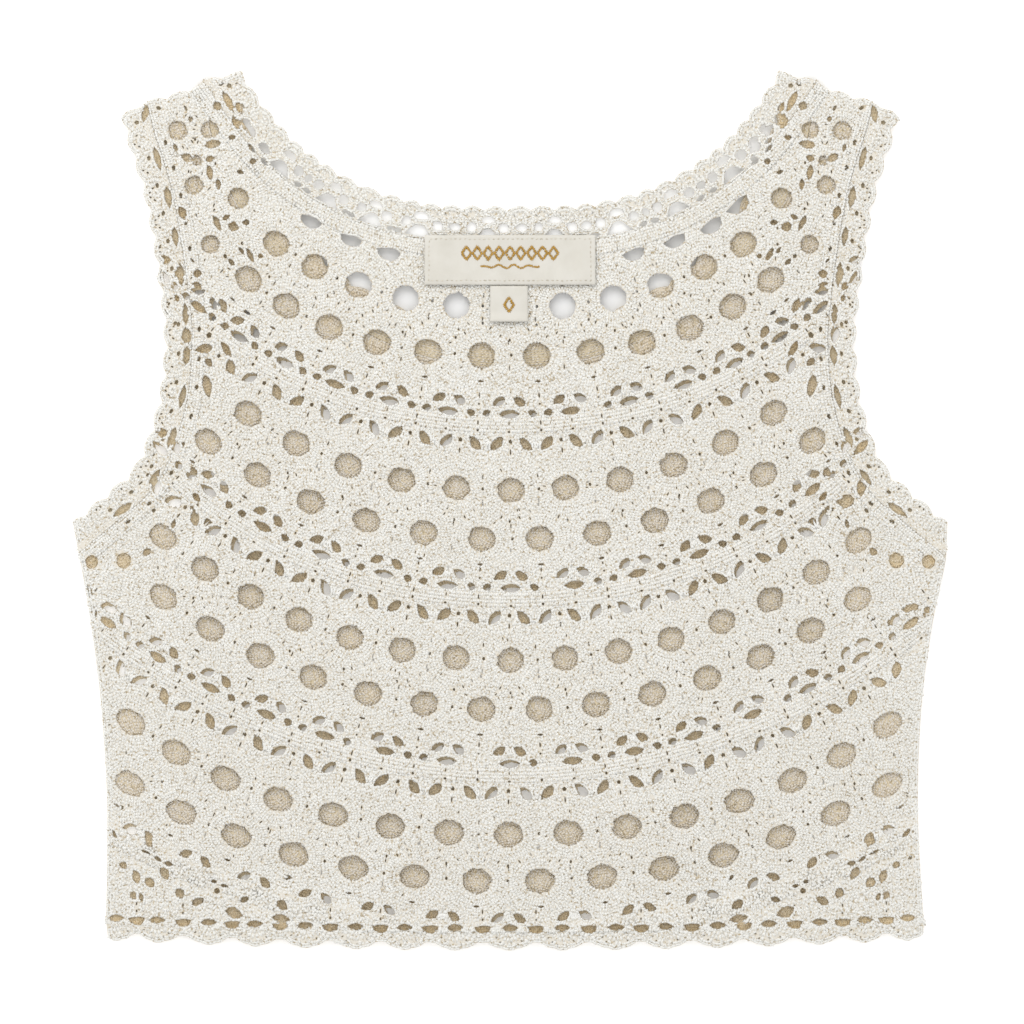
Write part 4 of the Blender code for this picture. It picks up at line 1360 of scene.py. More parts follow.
def marks_between(cells: Sequence[Gap], rng: np.random.Generator) -> list[Gap]:
    """The pinholes and dashes between neighbouring cells of the same band.

    Args:
        cells: The cells.
        rng: Where it is drawn which marks are open.

    Returns:
        The marks.
    """
    centres = np.array([(cell.x, cell.y) for cell in cells])
    bands = Survey(centres, NECK_PATH).band
    _, edges, triangles, *_ = delaunay_2d_cdt(centres.tolist(), [], [], 0, 1e-4)
    found = []

    def mark(
        point: Plan, way: Plan, half_long: float, half_short: float, shape: Shape, likely: float
    ) -> None:
        if rng.uniform() < likely:
            found.append(gap_at(point + rng.normal(0, 0.35, 2), way, half_long, half_short, 0.0, shape))

    for a, b in edges:
        way = centres[b] - centres[a]
        gap = float(np.hypot(*way))
        if gap > FARTHEST_NEIGHBOUR or bands[a] != bands[b]:
            continue
        middle, way = (centres[a] + centres[b]) / 2, way / gap
        square = turned(way, 90)
        course = np.array([1.0, COURSE_CURVE * middle[0]])
        if abs(float(way @ course)) / np.hypot(*course) > 0.9:
            mark(middle, square, 0.95, 0.75, Shape.PIN, 0.95)
            mark(middle + square * 6.0, square, 1.35, 0.36, Shape.DASH, 0.75)
            mark(middle - square * 6.0, square, 1.35, 0.36, Shape.DASH, 0.75)
        else:
            mark(middle + square * 2.9, way, 1.0, 0.38, Shape.DASH, 0.7)
            mark(middle - square * 2.9, way, 1.0, 0.38, Shape.DASH, 0.7)
    for corners in triangles:
        trio = centres[list(corners)]
        sides = np.hypot(*(trio - np.roll(trio, 1, axis=0)).T)
        if sides.max() < LONGEST_SIDE and len({int(bands[i]) for i in corners}) == 1:
            mark(trio.mean(axis=0), np.array([0.0, 1.0]), 0.9, 0.6, Shape.PIN, 0.9)
    for cell in cells:
        for turn in rng.uniform(0, 2 * math.pi, 4):
            way = np.array([math.cos(turn), math.sin(turn)])
            away = (cell.half_long + cell.half_short) / 2 + rng.uniform(3.2, 4.6)
            mark(np.array([cell.x, cell.y]) + way * away, way, 0.85, 0.33, Shape.DASH, 0.6)
    return found


def meeting(gaps: Sequence[Gap], outline: Plan, margin: float = 6.0) -> list[Gap]:
    """The gaps whose middles lie within an outline's box and a margin round it."""
    low, high = outline.min(axis=0) - margin, outline.max(axis=0) + margin
    return [gap for gap in gaps if low[0] < gap.x < high[0] and low[1] < gap.y < high[1]]


ON_COURSE = 4.0  # a cell whose middle lies nearer to a course than this is on it
SLIT_BELOW = 12.3  # how far under the cell's middle its slit lies


def fan_slits(cells: Sequence[Gap]) -> list[Gap]:
    """The slit under each cell of a band's lower course, at the foot of the next fan."""
    found = []
    for course in COURSES[1::2]:
        path = course.path()
        centres = np.array([(cell.x, cell.y) for cell in cells])
        near = np.abs(course.above(centres)) < ON_COURSE
        along, _ = path.place(centres[near])
        points, tangents = path.at(along, SLIT_BELOW)
        found += [gap_at(p, t, 1.6, 0.65, 0, Shape.LENS) for p, t in zip(points, tangents)]
    return found


@dataclass
class CrochetPiece:
    """A panel or an edging: its shell and its strands.

    Attributes:
        node: The CAD node that the shell replaces.
        layer: The layer that it is in.
        outline: Its counter-clockwise outline in the plan.
        gaps: What is cut through it.
        flat: Width and length of its cut, in millimetres.
        rests_on: What it lies on. Not used.
    """

    node: str
    layer: Layer
    outline: Plan
    gaps: list[Gap]
    flat: tuple[float, float]
    rests_on: tuple[str, ...]

    def build(
        self,
        parts: Sequence[Stitches],
        bed: Material,
        yarn: Material,
        rng: np.random.Generator,
        under: Sequence[Stitches] = (),
    ) -> None:
        """Args:
            parts: Strands on the face, a mesh for each part.
            bed: The shell's finish.
            yarn: The strands' finish.
            rng: Where the gaps' unevenness is drawn from.
            under: Strands on the underside, in the same way.
        """
        base = shell(f"{self.node}_ground", self.outline, self.gaps, self.layer, bed, rng)
        face, underside = self.layer.face, self.layer.shell_underside
        strands = [
            yarn_mesh(f"{self.node}_stitches_{i}", part, face, yarn) for i, part in enumerate(parts, 1)
        ]
        strands += [
            yarn_mesh(f"{self.node}_under_stitches_{i}", part, underside, yarn, Facing.DOWN)
            for i, part in enumerate(under, 1)
        ]
        for piece in (base, *strands):
            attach(piece, "root")
        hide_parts(self.node)
        width, length = (side * METRES for side in self.flat)
        min(cut_area(self.gaps, self.outline), width * length)
        log.info("%s: %d strands, %d gaps", self.node, sum(len(s) for s in (*parts, *under)), len(self.gaps))


UPPER_WORK = RoundWork()
LOWER_WORK = RoundWork(tone=0.85, step=1.45, pitch=1.2, length=2.5, width=1.7, reach=100.0)
UNDER_WORK = RoundWork(first=1.6, step=2.8, pitch=2.2, length=4.4, width=1.9, tone=0.85)
SCALLOP_WORK = RoundWork(first=0.8, reach=9.0, step=1.75)
HEM_WORK = RoundWork(first=1.6, reach=16.0, step=2.1, pitch=1.6, length=4.0, width=2.2)

# How far in from the crests' line a scallop's foot lies and its fan goes on, and where the rows of
# net beyond it lie
NECK_FOOT, NECK_FANS_TO, NECK_NET = 7.4, 9.4, np.arange(9.9, 18.6, 1.2)
ARMHOLE_FOOT, ARMHOLE_FANS_TO, ARMHOLE_NET = 6.2, 9.2, np.arange(9.6, 14.4, 1.2)
HEM_FOOT = 10.0

# Width and length of the cuts
PANEL_FLAT = (414.0, 408.0)
LEAST_FLAT = 10.0  # the least side that a sheet may have
HEM_FLAT = (HEM_RIGHT - HEM_LEFT, max(HEM_WIDTH, LEAST_FLAT))

RIM_AWAY = 0.55  # how far a gap's rolled rim lies outside the gap
OVER_RIM = 0.3  # how far a strand's middle may lie over a worked gap's edge, in rims and forks
PIN_ROOM = 0.7  # how far strands keep from a pinhole or dash
MARK_ROOM = 1.8  # how far marks keep from a worked gap
TIP = 0.45  # where a strand's tip lies, as a share of its length from its middle
SEAM_REACH = 2.2  # how near a seam a strand's tips may cross the outline
BARE_BY_SEAM = 2.8  # how near a seam a piece's rolled edge is left out

# The lower layer's leaves, from the upper's
LEAF_ROOM = 4.0  # how far they keep from its cells
LEAF_DEPTH = 26.0  # how far in from its neck they start
LEAVES_KEPT = 0.55
LEAF_SHIFT = (1.2, -1.6)

# The lower layer's strands that the upper one shows, with their painted light and shade
SEEN_PAST_GAP = 1.6  # how far past a gap's edge they go on
SEEN_PAST_CELL = 0.6  # how far past a cell's edge they get painted light
PAINTED_LIGHT_TONE = 0.1  # tone that a strand under a cell gains, painted light
PAINTED_SHADE_TONE = 0.6  # tone that another loses, painted shade


class Garment:
    """The whole top: finds its cells in the solids, works the lace and builds every crochet piece."""

    def __init__(self) -> None:
        """Reads the cells from the panels and lays out all the gaps."""
        self.rng = np.random.default_rng(20)
        self.yarn = CrochetCotton("ecru_crochet_cotton", "F4F3EF", "E5E2DA").made()
        # The shell under the strands: a darker copy of the yarn, painted shade between them
        self.bed = CrochetCotton("ecru_cotton_in_shade", "EEEBE5", "DDD7CB").made()
        # The lower layer's yarn and shell: darker, browner copies, painted shade under the upper layer, with
        # a painted glow
        self.inner_yarn = CrochetCotton(
            "ecru_crochet_cotton_within", "E3DCD1", "D2BF9B", "AE9C78", through=0.12
        ).made()
        self.inner_bed = CrochetCotton(
            "ecru_cotton_in_deep_shade", "DFD5C4", "CFC1A5", "A89876", through=0.03
        ).made()
        self.upper_cells = self.cells_of("front_panel")
        self.lower_cells = self.cells_of("back_panel")
        self.open_gaps = self.upper_gaps_around(self.upper_cells)
        self.lower_gaps = self.lower_gaps_around(self.lower_cells)

    def upper_gaps_around(self, cells: list[Gap]) -> list[Gap]:
        """All the gaps in the upper layer, its cells first."""
        rng = self.rng
        gaps = cells + [both for odd in ODD_GAPS for both in (odd, odd.mirrored())]
        gaps += tape_gaps(rng) + net_gaps(rng) + armhole_gaps() + hem_gaps() + fan_slits(cells)
        gaps += scallop_pins(NECK_PATH, self.neck_crests(Layer.UPPER), 1, rng, NECK_INSET)
        pins = scallop_pins(ARMHOLE_PATH, even_crests(ARMHOLE_PATH, ARMHOLE_SCALLOPS), -1, rng)
        gaps += pins + [pin.mirrored() for pin in pins]
        marks = marks_between(cells, rng)
        places = np.array([(mark.x, mark.y) for mark in marks])
        free = clear_of([gap for gap in gaps if gap.shape.worked], places, MARK_ROOM, 0.0)
        free &= Survey(places, NECK_PATH).in_lace()
        return gaps + [mark for mark, keep in zip(marks, free) if keep]

    def lower_gaps_around(self, cells: list[Gap]) -> list[Gap]:
        """The lower layer's cells, and some of the leaves along its tapes."""
        rng = self.rng
        leaves = [gap for gap in tape_gaps(rng) if gap.shape in (Shape.LEAF, Shape.LENS)]
        centres = np.array([(gap.x, gap.y) for gap in leaves])
        free = clear_of(cells, centres, LEAF_ROOM, 0.0)
        free &= Survey(centres, LOWER_NECK_PATH).neck_depth > LEAF_DEPTH
        free &= rng.uniform(size=len(leaves)) < LEAVES_KEPT
        right, up = LEAF_SHIFT
        return cells + [
            Gap(leaf.x + right, leaf.y + up, leaf.half_long, leaf.half_short, leaf.turn, leaf.shape)
            for leaf, keep in zip(leaves, free) if keep
        ]

    @staticmethod
    def cells_of(node: str) -> list[Gap]:
        """The round cells in a panel: its leaves are smaller and its slots longer."""
        cells = [cell_from(loop) for loop in plan_loops(node)[1:]]
        large = [cell for cell in cells if cell.half_long * cell.half_short > SMALLEST_CELL]
        return [cell for cell in large if cell.half_long < LONGEST_CELL * cell.half_short]

    @staticmethod
    def neck_crests(layer: Layer) -> np.ndarray:
        """Where along a layer's neck the crests of its scallops lie."""
        if layer is Layer.UPPER:
            return np.array(NECK_CRESTS) + NECK_PATH.length / 2
        return even_crests(LOWER_NECK_PATH, LOWER_NECK_SCALLOPS)

    @staticmethod
    def fan_feet(path: Path, crests: np.ndarray, right: float) -> list[Gap]:
        """The points that the posts of each scallop spread from, as far to the path's right as is said."""
        points, _ = path.at(crests, right)
        return [Gap(float(x), float(y), 0.6, 0.6, 0.0, Shape.PIN) for x, y in points]

    @staticmethod
    def fanned(outline: Plan) -> Plan:
        """The hem edging's outline, each scallop worked as a fan of three lobes."""
        x, y = outline.T
        steps = np.arange(-1, len(HEM_CRESTS) + 1) * FAN_WIDTH
        crests = [2 * HEM_CRESTS[0] - HEM_CRESTS[1], *HEM_CRESTS, 2 * HEM_CRESTS[-1] - HEM_CRESTS[-2]]
        even = np.interp(x, crests, steps)
        away = np.abs((even + FAN_WIDTH / 2) % FAN_WIDTH - FAN_WIDTH / 2)
        edge = hem_line(x) + np.interp(away, *np.array(FAN_EDGE).T)
        return np.column_stack([x, np.where(y - hem_line(x) < FAN_EDGE_TOP, edge, y)])

    @staticmethod
    def hem_feet() -> list[Gap]:
        """The foot of each fan of the hem."""
        feet = zip(HEM_CRESTS, hem_line(np.array(HEM_CRESTS)))
        return [Gap(x, float(y) + HEM_FOOT, 1.8, 1.0, 0.0, Shape.PIN) for x, y in feet]

    @staticmethod
    def by_seam(plan: Plan, neck: Path, reach: float) -> np.ndarray:
        """Whether each point lies within a reach of the seam between a panel and an edging."""
        survey = Survey(plan, neck)
        inward = (survey.neck_depth, survey.arm_depth, survey.hem_height)
        away = [depth - width for depth, width in zip(inward, (NECK_WIDTH, ARMHOLE_WIDTH, HEM_WIDTH))]
        return np.min(np.abs(away), axis=0) < reach

    def edge_rims(self, outline: Plan, layer: Layer) -> Stitches:
        """The rolled edge round a piece, left out along its seams with other pieces."""
        edge = Stitches.together([rim(outline, -0.7, self.rng), rim(outline, -1.9, self.rng, turn=-20.0)])
        return edge.where(~self.by_seam(edge.place, layer.neck, BARE_BY_SEAM))

    def rims_of(self, gaps: Sequence[Gap], outline: Plan) -> Stitches:
        """The rolled rims of the worked gaps within an outline."""
        worked = [gap for gap in gaps if gap.shape.worked]
        rimmed = [gap for gap in worked if gap.shape is not Shape.ROUND]
        rims = Stitches.together([rim(gap.outline(self.rng), RIM_AWAY, self.rng) for gap in rimmed])
        rims = rims.where(inside(outline, rims.place))
        return rims.where(clear_of(worked, rims.place, -OVER_RIM, 0.0))

    def trimmed(
        self, stitches: Stitches, outline: Plan, gaps: Sequence[Gap], neck: Path, worked: float = 0.75
    ) -> Stitches:
        """The strands that lie within the outline and clear of the gaps.

        Args:
            stitches: The strands.
            outline: The piece's outline. A strand's tips too stay within it, but for its seams.
            gaps: The gaps.
            neck: The line of the layer's neck.
            worked: The margin to keep from a gap with a rolled rim.

        Returns:
            Those strands.
        """
        stitches = stitches.where(inside(outline, stitches.place))
        kept = self.by_seam(stitches.place, neck, SEAM_REACH)
        heading = np.column_stack([np.cos(stitches.heading), np.sin(stitches.heading)])
        way = heading * stitches.length[:, None] * TIP
        kept |= inside(outline, stitches.place + way) & inside(outline, stitches.place - way)
        stitches = stitches.where(kept)
        return stitches.where(clear_of(gaps, stitches.place, worked, PIN_ROOM))

    def panel_work(
        self, layer: Layer, outline: Plan, cells: list[Gap], gaps: list[Gap], work: RoundWork
    ) -> Stitches:
        """All the strands on a panel's face, but for its rims."""
        rng, neck = self.rng, layer.neck
        posts = work.worked(cells, rng)
        posts = posts.where(Survey(posts.place, neck).in_lace())
        rows = []
        for path in (tape.path() for tape in TAPES[:CROSS_TAPES]):
            rows += [TAPE_ROW.beside(path, right, rng) for right in (-2.5, -0.85, 0.85, 2.5)]
            rows += [TAPE_EDGE.beside(path, right, rng) for right in (-3.95, 3.95)]
        cross = Stitches.together(rows)
        rows = [TAPE_ROW.beside(neck, NECK_WIDTH + depth, rng) for depth in (1.9, 3.4, 4.9, 6.4)]
        rows += [SEAM_EDGE.beside(neck, NECK_WIDTH + depth, rng) for depth in (0.5, 7.7)]
        around_neck = Stitches.together(rows)
        rows = [
            work_row.beside(path, -(ARMHOLE_WIDTH + depth), rng)
            for work_row, depths in ((TAPE_ROW, (1.9, 3.3, 4.8)), (SEAM_EDGE, (0.5, 6.2)))
            for path in (ARMHOLE_PATH, LEFT_ARMHOLE_PATH)
            for depth in depths
        ]
        around_arms = Stitches.together(rows)
        neck_side, cross_side = Survey(around_neck.place, neck), Survey(cross.place, neck)
        on_tapes = [
            around_arms,
            around_neck.where(~neck_side.on_armhole_tape()),
            cross.where(~(cross_side.on_armhole_tape() | cross_side.on_neck_tape())),
        ]
        hem_seam = [HEM_ROW.beside(HEM_PATH, -HEM_WIDTH - depth, rng) for depth in (0.3, 1.6)]
        return self.trimmed(Stitches.together([posts, *on_tapes, *hem_seam]), outline, gaps, neck)

    def build_upper(self) -> None:
        """The upper panel and its edgings."""
        layer, rng = Layer.UPPER, self.rng
        outline = smoothed(plan_loops("front_panel")[0])
        work = self.panel_work(layer, outline, self.upper_cells, self.open_gaps, UPPER_WORK)
        stems = self.trimmed(forks(rng), outline, self.open_gaps, layer.neck, -OVER_RIM)
        rims, edge = self.rims_of(self.open_gaps, outline), self.edge_rims(outline, layer)
        lace = Stitches.together([work, stems, rims, edge])
        band = Survey(lace.place, layer.neck).band
        parts = [lace.where(band == i) for i in range(CROSS_TAPES + 1)]
        panel = CrochetPiece("front_panel", layer, outline, self.open_gaps, PANEL_FLAT, ("back_panel",))
        panel.build(parts, self.bed, self.yarn, rng)
        self.build_edgings(layer, "front", self.open_gaps)

    def build_lower(self) -> None:
        """The lower panel and its edgings. Its face is worked where the upper layer's gaps show it."""
        layer, rng = Layer.LOWER, self.rng
        outline = smoothed(plan_loops("back_panel")[0])
        face = self.seen(self.panel_work(layer, outline, self.lower_cells, self.lower_gaps, LOWER_WORK))
        under = self.panel_work(layer, outline, self.lower_cells, self.lower_gaps, UNDER_WORK)
        panel = CrochetPiece("back_panel", layer, outline, self.lower_gaps, PANEL_FLAT, ("floor",))
        panel.build([face], self.inner_bed, self.inner_yarn, rng, [under])
        self.build_edgings(layer, "back", self.lower_gaps)

    def seen(self, stitches: Stitches) -> Stitches:
        """The strands of the lower layer that show through the upper one: painted light on those under its
        cells, painted shade on the rest.
        """
        worked = [gap for gap in self.open_gaps if gap.shape.worked]
        stitches = stitches.where(~clear_of(worked, stitches.place, SEEN_PAST_GAP, 0.0))
        # Painted light under the upper layer's cells, painted shade under its other gaps
        lit = ~clear_of(self.upper_cells, stitches.place, SEEN_PAST_CELL, 0.0)
        stitches.tone = np.where(lit, stitches.tone + PAINTED_LIGHT_TONE, stitches.tone - PAINTED_SHADE_TONE)
        return stitches

    def build_edgings(self, layer: Layer, side: str, gaps: list[Gap]) -> None:
        """A layer's neck, armhole and hem edgings."""
        rng, neck = self.rng, layer.neck

        name = f"{side}_neck_edging"
        outline = smoothed(plan_loops(name)[0])
        posts = SCALLOP_WORK.worked(self.fan_feet(neck, self.neck_crests(layer), NECK_FOOT), rng)
        posts = posts.where(Survey(posts.place, neck).neck_depth < NECK_FANS_TO)
        net = [NET_ROW.beside(neck, depth, rng) for depth in NECK_NET]
        self.build_edging(name, layer, outline, [posts, *net], gaps, (neck.length, NECK_WIDTH))

        for path, hand in ((ARMHOLE_PATH, "right"), (LEFT_ARMHOLE_PATH, "left")):
            name = f"{side}_armhole_edging_{hand}"
            outline = smoothed(plan_loops(name)[0])
            feet = self.fan_feet(path, even_crests(path, ARMHOLE_SCALLOPS), -ARMHOLE_FOOT)
            posts = SCALLOP_WORK.worked(feet, rng)
            posts = posts.where(Survey(posts.place, neck).arm_depth < ARMHOLE_FANS_TO)
            net = [NET_ROW.beside(path, -depth, rng) for depth in ARMHOLE_NET]
            self.build_edging(name, layer, outline, [posts, *net], gaps, (path.length, ARMHOLE_WIDTH))

        name = f"{side}_hem_edging"
        outline = self.fanned(smoothed(plan_loops(name)[0], samples=5))
        posts = HEM_WORK.worked(self.hem_feet(), rng)
        seam = HEM_EDGE.beside(HEM_PATH, 0.6 - HEM_WIDTH, rng)
        self.build_edging(name, layer, outline, [posts, seam], gaps, HEM_FLAT)

    def build_edging(
        self,
        name: str,
        layer: Layer,
        outline: Plan,
        groups: list[Stitches],
        gaps: list[Gap],
        flat: tuple[float, float],
    ) -> None:
        """One edging with its rims. An upper one lies on its fellow in the lower layer."""
        gaps = meeting(gaps, outline)
        work = self.trimmed(Stitches.together(groups), outline, gaps, layer.neck)
        edge = self.edge_rims(outline, layer)
        if layer is Layer.LOWER:
            face = Stitches.together([self.seen(work), edge])
            under = work.where(np.arange(len(work)) % 2 == 0)
            piece = CrochetPiece(name, layer, outline, gaps, flat, ("floor",))
            piece.build([face], self.inner_bed, self.inner_yarn, self.rng, [under])
            return
        face = Stitches.together([work, edge, self.rims_of(gaps, outline)])
        piece = CrochetPiece(name, layer, outline, gaps, flat, (name.replace("front", "back"),))
        piece.build([face], self.bed, self.yarn, self.rng)


@dataclass(frozen=True)
class Ripple:
    """A soft upright ridge in a label, at a distance to the right of its middle."""

    x: float
    width: float
    rise: float


RIPPLE_LEAN = 0.06  # how far a ripple goes to the left with each millimetre up
CURL_REACH = 5.0  # over how much of its height a tag's lower edge lifts
EDGE_FALL = 0.28  # how much lower a tag's face is at its folded edges
TAG_GRID = 0.9  # about how far apart a tag's points are
EDGE_CROWDING = 1.15  # draws the outermost rows of points towards the edge
TAG_WALL = 0.8  # a tag's wall, as a share of its thickness
LOZENGE_PITCH = 1.16  # from lozenge to lozenge, as a share of a lozenge's width


@dataclass(frozen=True)
class WovenTag:
    """A woven satin rectangle sewn to the upper panel, with a border pattern in gold weft.

    Attributes:
        node: The CAD node that it replaces.
        centre: Its middle in the plan.
        size: Its width and height.
        over: How far over the upper layer's underside it lies.
        ripples: The ridges in it.
        lozenges: How many lozenges the pattern has, and the width and height of each.
        pattern_y: How far the pattern's middle is over the centre.
        wave: Half the width of the wavy line under the lozenges. 0 leaves it out.
        stitched: Whether stitches go all round.
        curl: How far its lower edge lifts.
        thickness: How far its face lies over that. Its wall is a little thinner.
    """

    node: str
    centre: tuple[float, float]
    size: tuple[float, float]
    over: float
    ripples: tuple[Ripple, ...]
    lozenges: tuple[int, float, float]
    pattern_y: float
    wave: float
    stitched: bool
    curl: float
    thickness: float = 0.75

    def face(self, plan: Plan) -> np.ndarray:
        """How high its face lies at the points."""
        x, y = (plan - self.centre).T
        half_x, half_y = self.size[0] / 2, self.size[1] / 2
        height = Layer.UPPER.underside(plan) + self.over + self.thickness
        fade = smooth((half_y - np.abs(y)) / 4.0 + 0.25)  # towards the long edges
        for ripple in self.ripples:
            away = (x - ripple.x + RIPPLE_LEAN * y) / ripple.width
            height = height + ripple.rise * np.exp(-(away**2)) * fade
        height = height + self.curl * smooth((CURL_REACH - y - half_y) / 6.0)
        edge = np.minimum(half_x - np.abs(x), half_y - np.abs(y))
        return height - EDGE_FALL * (1 - smooth(edge / 0.7))

    def build(
        self,
        satin: Material,
        gold: Material,
        thread: Material,
        rng: np.random.Generator,
    ) -> None:
        """Makes the tag, its stitches and its pattern."""
        form = bmesh.new()
        columns, rows = round(self.size[0] / TAG_GRID), round(self.size[1] / TAG_GRID)
        bmesh.ops.create_grid(form, x_segments=columns, y_segments=rows, size=0.5)
        raised = bmesh.ops.extrude_face_region(form, geom=form.faces[:])["geom"]
        upper = {v for v in raised if isinstance(v, bmesh.types.BMVert)}
        # The outermost rows close up, so that the folded edge is round
        shares = np.array([v.co.xy for v in form.verts]) * 2
        shares = np.sign(shares) * (1 - (1 - np.abs(shares)) ** EDGE_CROWDING)
        plan = shares * (self.size[0] / 2, self.size[1] / 2) + self.centre
        faces = self.face(plan)
        for vertex, (x, y), height in zip(form.verts, plan, faces):
            vertex.co = (x, y, height if vertex in upper else height - self.thickness * TAG_WALL)
        bmesh.ops.scale(form, vec=(METRES,) * 3, verts=form.verts)
        bmesh.ops.recalc_face_normals(form, faces=form.faces)
        mesh = bpy.data.meshes.new(self.node)
        form.to_mesh(mesh)
        form.free()
        mesh.shade_smooth()
        mesh.materials.append(satin)
        tag = placed(f"{self.node}_satin", mesh)
        added = [yarn_mesh(f"{self.node}_pattern", self.pattern(rng), self.face, gold)]
        if self.stitched:
            added.append(yarn_mesh(f"{self.node}_stitches", self.seam(rng), self.face, thread))
        for piece in (tag, *added):
            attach(piece, "root")
        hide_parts(self.node)
        width, height = (side * METRES for side in self.size)

    def seam(self, rng: np.random.Generator) -> Stitches:
        """The stitches all round, just inside its edge."""
        half_x, half_y = self.size[0] / 2 - 2.2, self.size[1] / 2 - 2.0
        signs = np.array([(-1, -1), (1, -1), (1, 1), (-1, 1), (-1, -1)])
        return LABEL_STITCH.beside(Path(signs * (half_x, half_y) + self.centre), 0.0, rng)

    def pattern(self, rng: np.random.Generator) -> Stitches:
        """A row of lozenges over a wavy line, each drawn with gold floats laid across its outline."""
        count, width, height = self.lozenges
        pitch = width * LOZENGE_PITCH
        floats = []
        for i in range(count):
            x = (i - (count - 1) / 2) * pitch
            loop = [(-width / 2, 0), (0, -height / 2), (width / 2, 0), (0, height / 2), (-width / 2, 0)]
            path = Path(np.array(loop) + (x + self.centre[0], self.pattern_y + self.centre[1]))
            floats.append(LOZENGE_FLOAT.beside(path, 0.0, rng))
        if self.wave:
            x = np.linspace(-self.wave, self.wave, 80)
            waves = 0.9 * np.sin(x / 1.15) * np.cos(x / self.wave * math.pi / 2.2)
            y = self.pattern_y - height / 2 - 3.2 + waves
            path = Path(np.column_stack([x, y]) + self.centre)
            floats.append(WAVE_FLOAT.beside(path, 0.0, rng))
        return Stitches.together(floats)


NECK_LABEL = WovenTag(
    node="neck_label",
    centre=(0.0, 120.5),
    size=(82.0, 24.0),
    over=2.8,
    ripples=(
        Ripple(-33.0, 3.6, 0.65), Ripple(-22.0, 3.0, 0.45), Ripple(-6.0, 4.4, 0.5), Ripple(8.5, 3.0, 0.4),
        Ripple(17.0, 3.2, 0.6), Ripple(25.0, 2.8, 0.55), Ripple(34.0, 3.4, 0.7),
    ),
    lozenges=(9, 4.5, 6.4),
    pattern_y=3.2,
    wave=14.2,
    stitched=True,
    curl=0.0,
)
SIZE_TAB = WovenTag(
    node="size_tab",
    centre=(-0.5, 99.5),
    size=(18.2, 17.4),
    over=2.3,
    ripples=(Ripple(-4.5, 3.0, 0.35), Ripple(5.0, 2.6, 0.4)),
    lozenges=(1, 4.6, 7.0),
    pattern_y=-0.6,
    wave=0.0,
    stitched=False,
    curl=1.1,
)


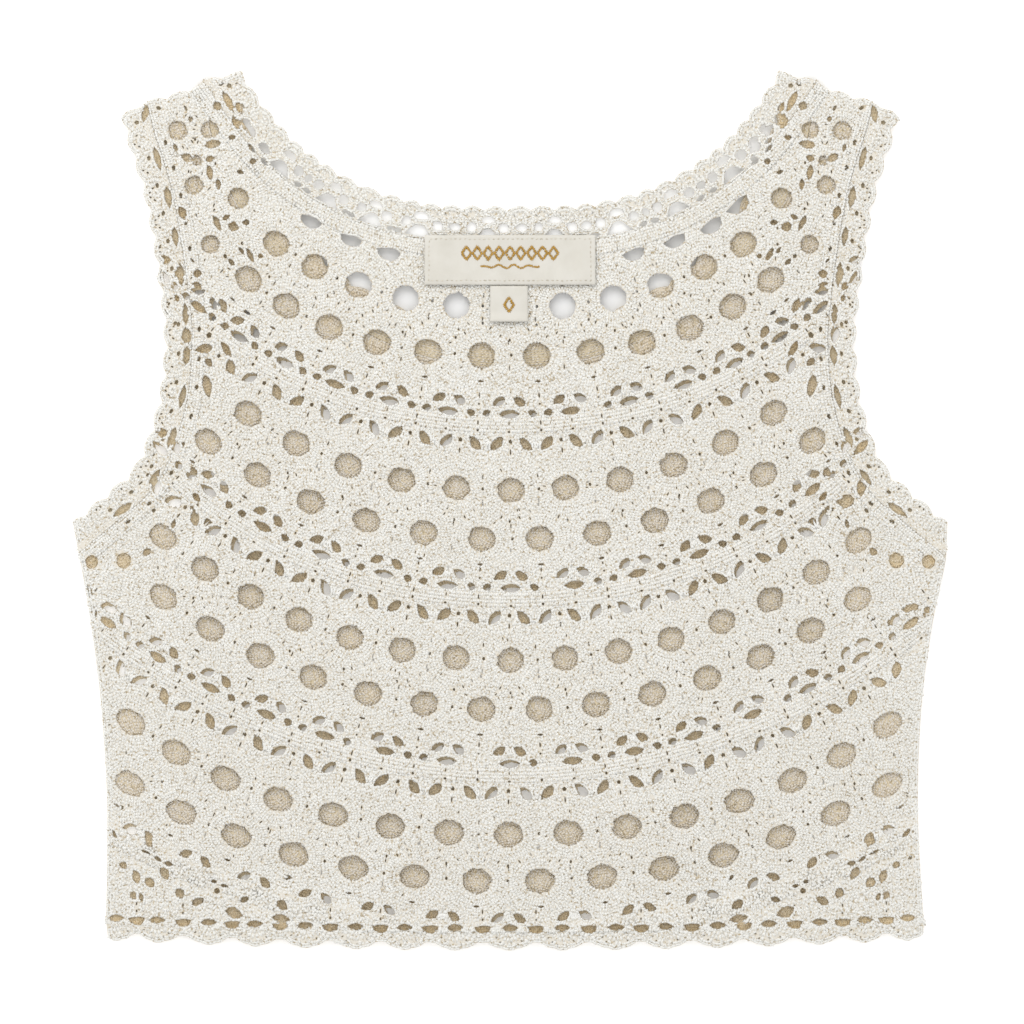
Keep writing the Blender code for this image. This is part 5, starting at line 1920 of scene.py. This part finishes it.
class Studio:
    """The pale floor, the soft light and the camera straight above."""

    pixel = 0.48  # millimetres of the garment in one pixel of a frame of 1024
    frame_pixels = 1024
    centre = (0.96, -0.48)
    distance = 3000.0
    garment_height = 4.0
    sensor_width = 36.0

    # Lengths from here on are in metres
    floor_drop = 0.0003  # how far under the garment's underside the floor lies
    room_strength = 0.975
    window_energy = 11.0
    window_size = (1.6, 0.9)
    window_place = (-0.45, 1.2, 1.35)
    window_turn = (-42.0, -12.0)  # degrees about X and Y

    # The floor glows from just outside the garment, a painted light, and less within it, a painted
    # shadow: dimmer under the body and none in the band under the neck. Each pair is where the glow starts
    # and where it is full.
    glow_strength = 0.3
    glow_within = 0.19
    beside = (0.150, 0.158)
    over_neck = (0.118, 0.150)
    under_hem = (0.198, 0.206)
    under_neck = (-0.083, -0.075)
    neck_rise = 29.5  # the neck's line rises by this times the cube of the way from the middle

    def build(self) -> None:
        """Makes the stage."""
        self.make_floor()
        self.make_light()
        self.make_camera()

    def glow(self, tree: Tree, place: Socket) -> Socket:
        """Painted light: the floor's glow, full outside the garment, dimmer under its body and none in the
        band under its neck, a painted shadow.
        """
        split = add(tree, "ShaderNodeSeparateXYZ", {0: place})
        aside = add(tree, "ShaderNodeMath", {0: split.outputs["X"]}, operation="ABSOLUTE").outputs[0]
        cube = add(tree, "ShaderNodeMath", {0: aside, 1: 3.0}, operation="POWER").outputs[0]
        above = add(
            tree, "ShaderNodeMath", {0: cube, 1: -self.neck_rise, 2: split.outputs["Y"]},
            operation="MULTIPLY_ADD",
        ).outputs[0]
        below = add(tree, "ShaderNodeMath", {0: split.outputs["Y"], 1: -1.0}, operation="MULTIPLY").outputs[0]
        glow = None
        for away, (first, last), strength in (
            (aside, self.beside, self.glow_strength),
            (above, self.over_neck, self.glow_strength),
            (below, self.under_hem, self.glow_strength),
            (below, self.under_neck, self.glow_within),
        ):
            lit = add(
                tree, "ShaderNodeMapRange",
                {"Value": away, "From Min": first, "From Max": last, "To Max": strength},
            ).outputs["Result"]
            glow = lit if glow is None else add(
                tree, "ShaderNodeMath", {0: glow, 1: lit}, operation="MAXIMUM"
            ).outputs[0]
        return glow

    def make_floor(self) -> None:
        """Makes the floor of matt white paper, with a painted glow that is dimmer where the garment covers
        it.
        """
        form = bmesh.new()
        bmesh.ops.create_grid(form, x_segments=8, y_segments=8, size=3.0)
        bmesh.ops.translate(form, verts=form.verts, vec=(0.0, 0.0, -self.floor_drop))
        mesh = bpy.data.meshes.new("floor")
        form.to_mesh(mesh)
        form.free()
        material, tree, shader = blank("matt_white_paper")
        place = add(tree, "ShaderNodeTexCoord").outputs["Object"]
        grain = add(tree, "ShaderNodeTexNoise", {"Vector": place, "Scale": 900.0, "Detail": 2.0})
        relief = add(
            tree, "ShaderNodeBump",
            {"Height": grain.outputs["Fac"], "Strength": 0.05, "Distance": 0.05 * METRES},
        )
        fill(tree, shader, {
            "Normal": relief.outputs["Normal"],
            "Base Color": linear("F8F8F8"),
            "Emission Color": (0.97, 0.985, 1.0, 1.0),
            "Emission Strength": self.glow(tree, place),
            "Roughness": 0.95,
            "Specular IOR Level": 0.1,
        })
        mesh.materials.append(material)
        placed("floor", mesh)

    def make_light(self) -> None:
        """Makes the white room and the window that lights it from above the neck."""
        world = bpy.data.worlds.new("white_room")
        world.use_nodes = True
        background = {"Color": (0.98, 0.99, 1.0, 1.0), "Strength": self.room_strength}
        fill(world.node_tree, world.node_tree.nodes["Background"], background)
        bpy.context.scene.world = world

        light = bpy.data.lights.new("window", "AREA")
        light.shape = "RECTANGLE"
        light.size, light.size_y = self.window_size
        light.energy = self.window_energy
        light.color = (1.0, 0.985, 0.96)
        lamp = bpy.data.objects.new("window", light)
        lamp.location = self.window_place
        lamp.rotation_euler = (*(math.radians(turn) for turn in self.window_turn), 0.0)
        bpy.context.scene.collection.objects.link(lamp)

    def make_camera(self) -> None:
        """Makes the camera, far enough away that the garment shows nearly flat."""
        lens = bpy.data.cameras.new("camera")
        lens.sensor_width = self.sensor_width
        width = self.pixel * self.frame_pixels
        lens.lens = lens.sensor_width * (self.distance - self.garment_height) / width
        lens.clip_start, lens.clip_end = 0.1, 20.0
        camera = bpy.data.objects.new("camera", lens)
        camera.location = (self.centre[0] * METRES, self.centre[1] * METRES, self.distance * METRES)
        bpy.context.scene.collection.objects.link(camera)
        bpy.context.scene.camera = camera
        bpy.context.scene.view_settings.view_transform = "Standard"


def main() -> None:
    """Builds the stage and every piece."""
    logging.basicConfig(level=logging.INFO, format="%(message)s")
    Studio().build()
    garment = Garment()
    garment.build_lower()
    garment.build_upper()
    satin = WovenSatin("cream_woven_satin", "D8D4CB", "C5C0B3").made()
    gold = RayonThread("old_gold_weft", "D0A444", "9A7424").made()
    rng = np.random.default_rng(7)
    thread = RayonThread("cream_sewing_thread", "DDD6C6", "B8AD96").made()
    NECK_LABEL.build(satin, gold, thread, rng)
    SIZE_TAB.build(satin, gold, thread, rng)
    meshes = [piece for piece in bpy.data.objects if piece.type == "MESH"]
    triangles = {piece.name: sum(len(face.vertices) - 2 for face in piece.data.polygons) for piece in meshes}
    log.info("triangles: %s, total %d", triangles, sum(triangles.values()))


if __name__ == "__main__":
    main()
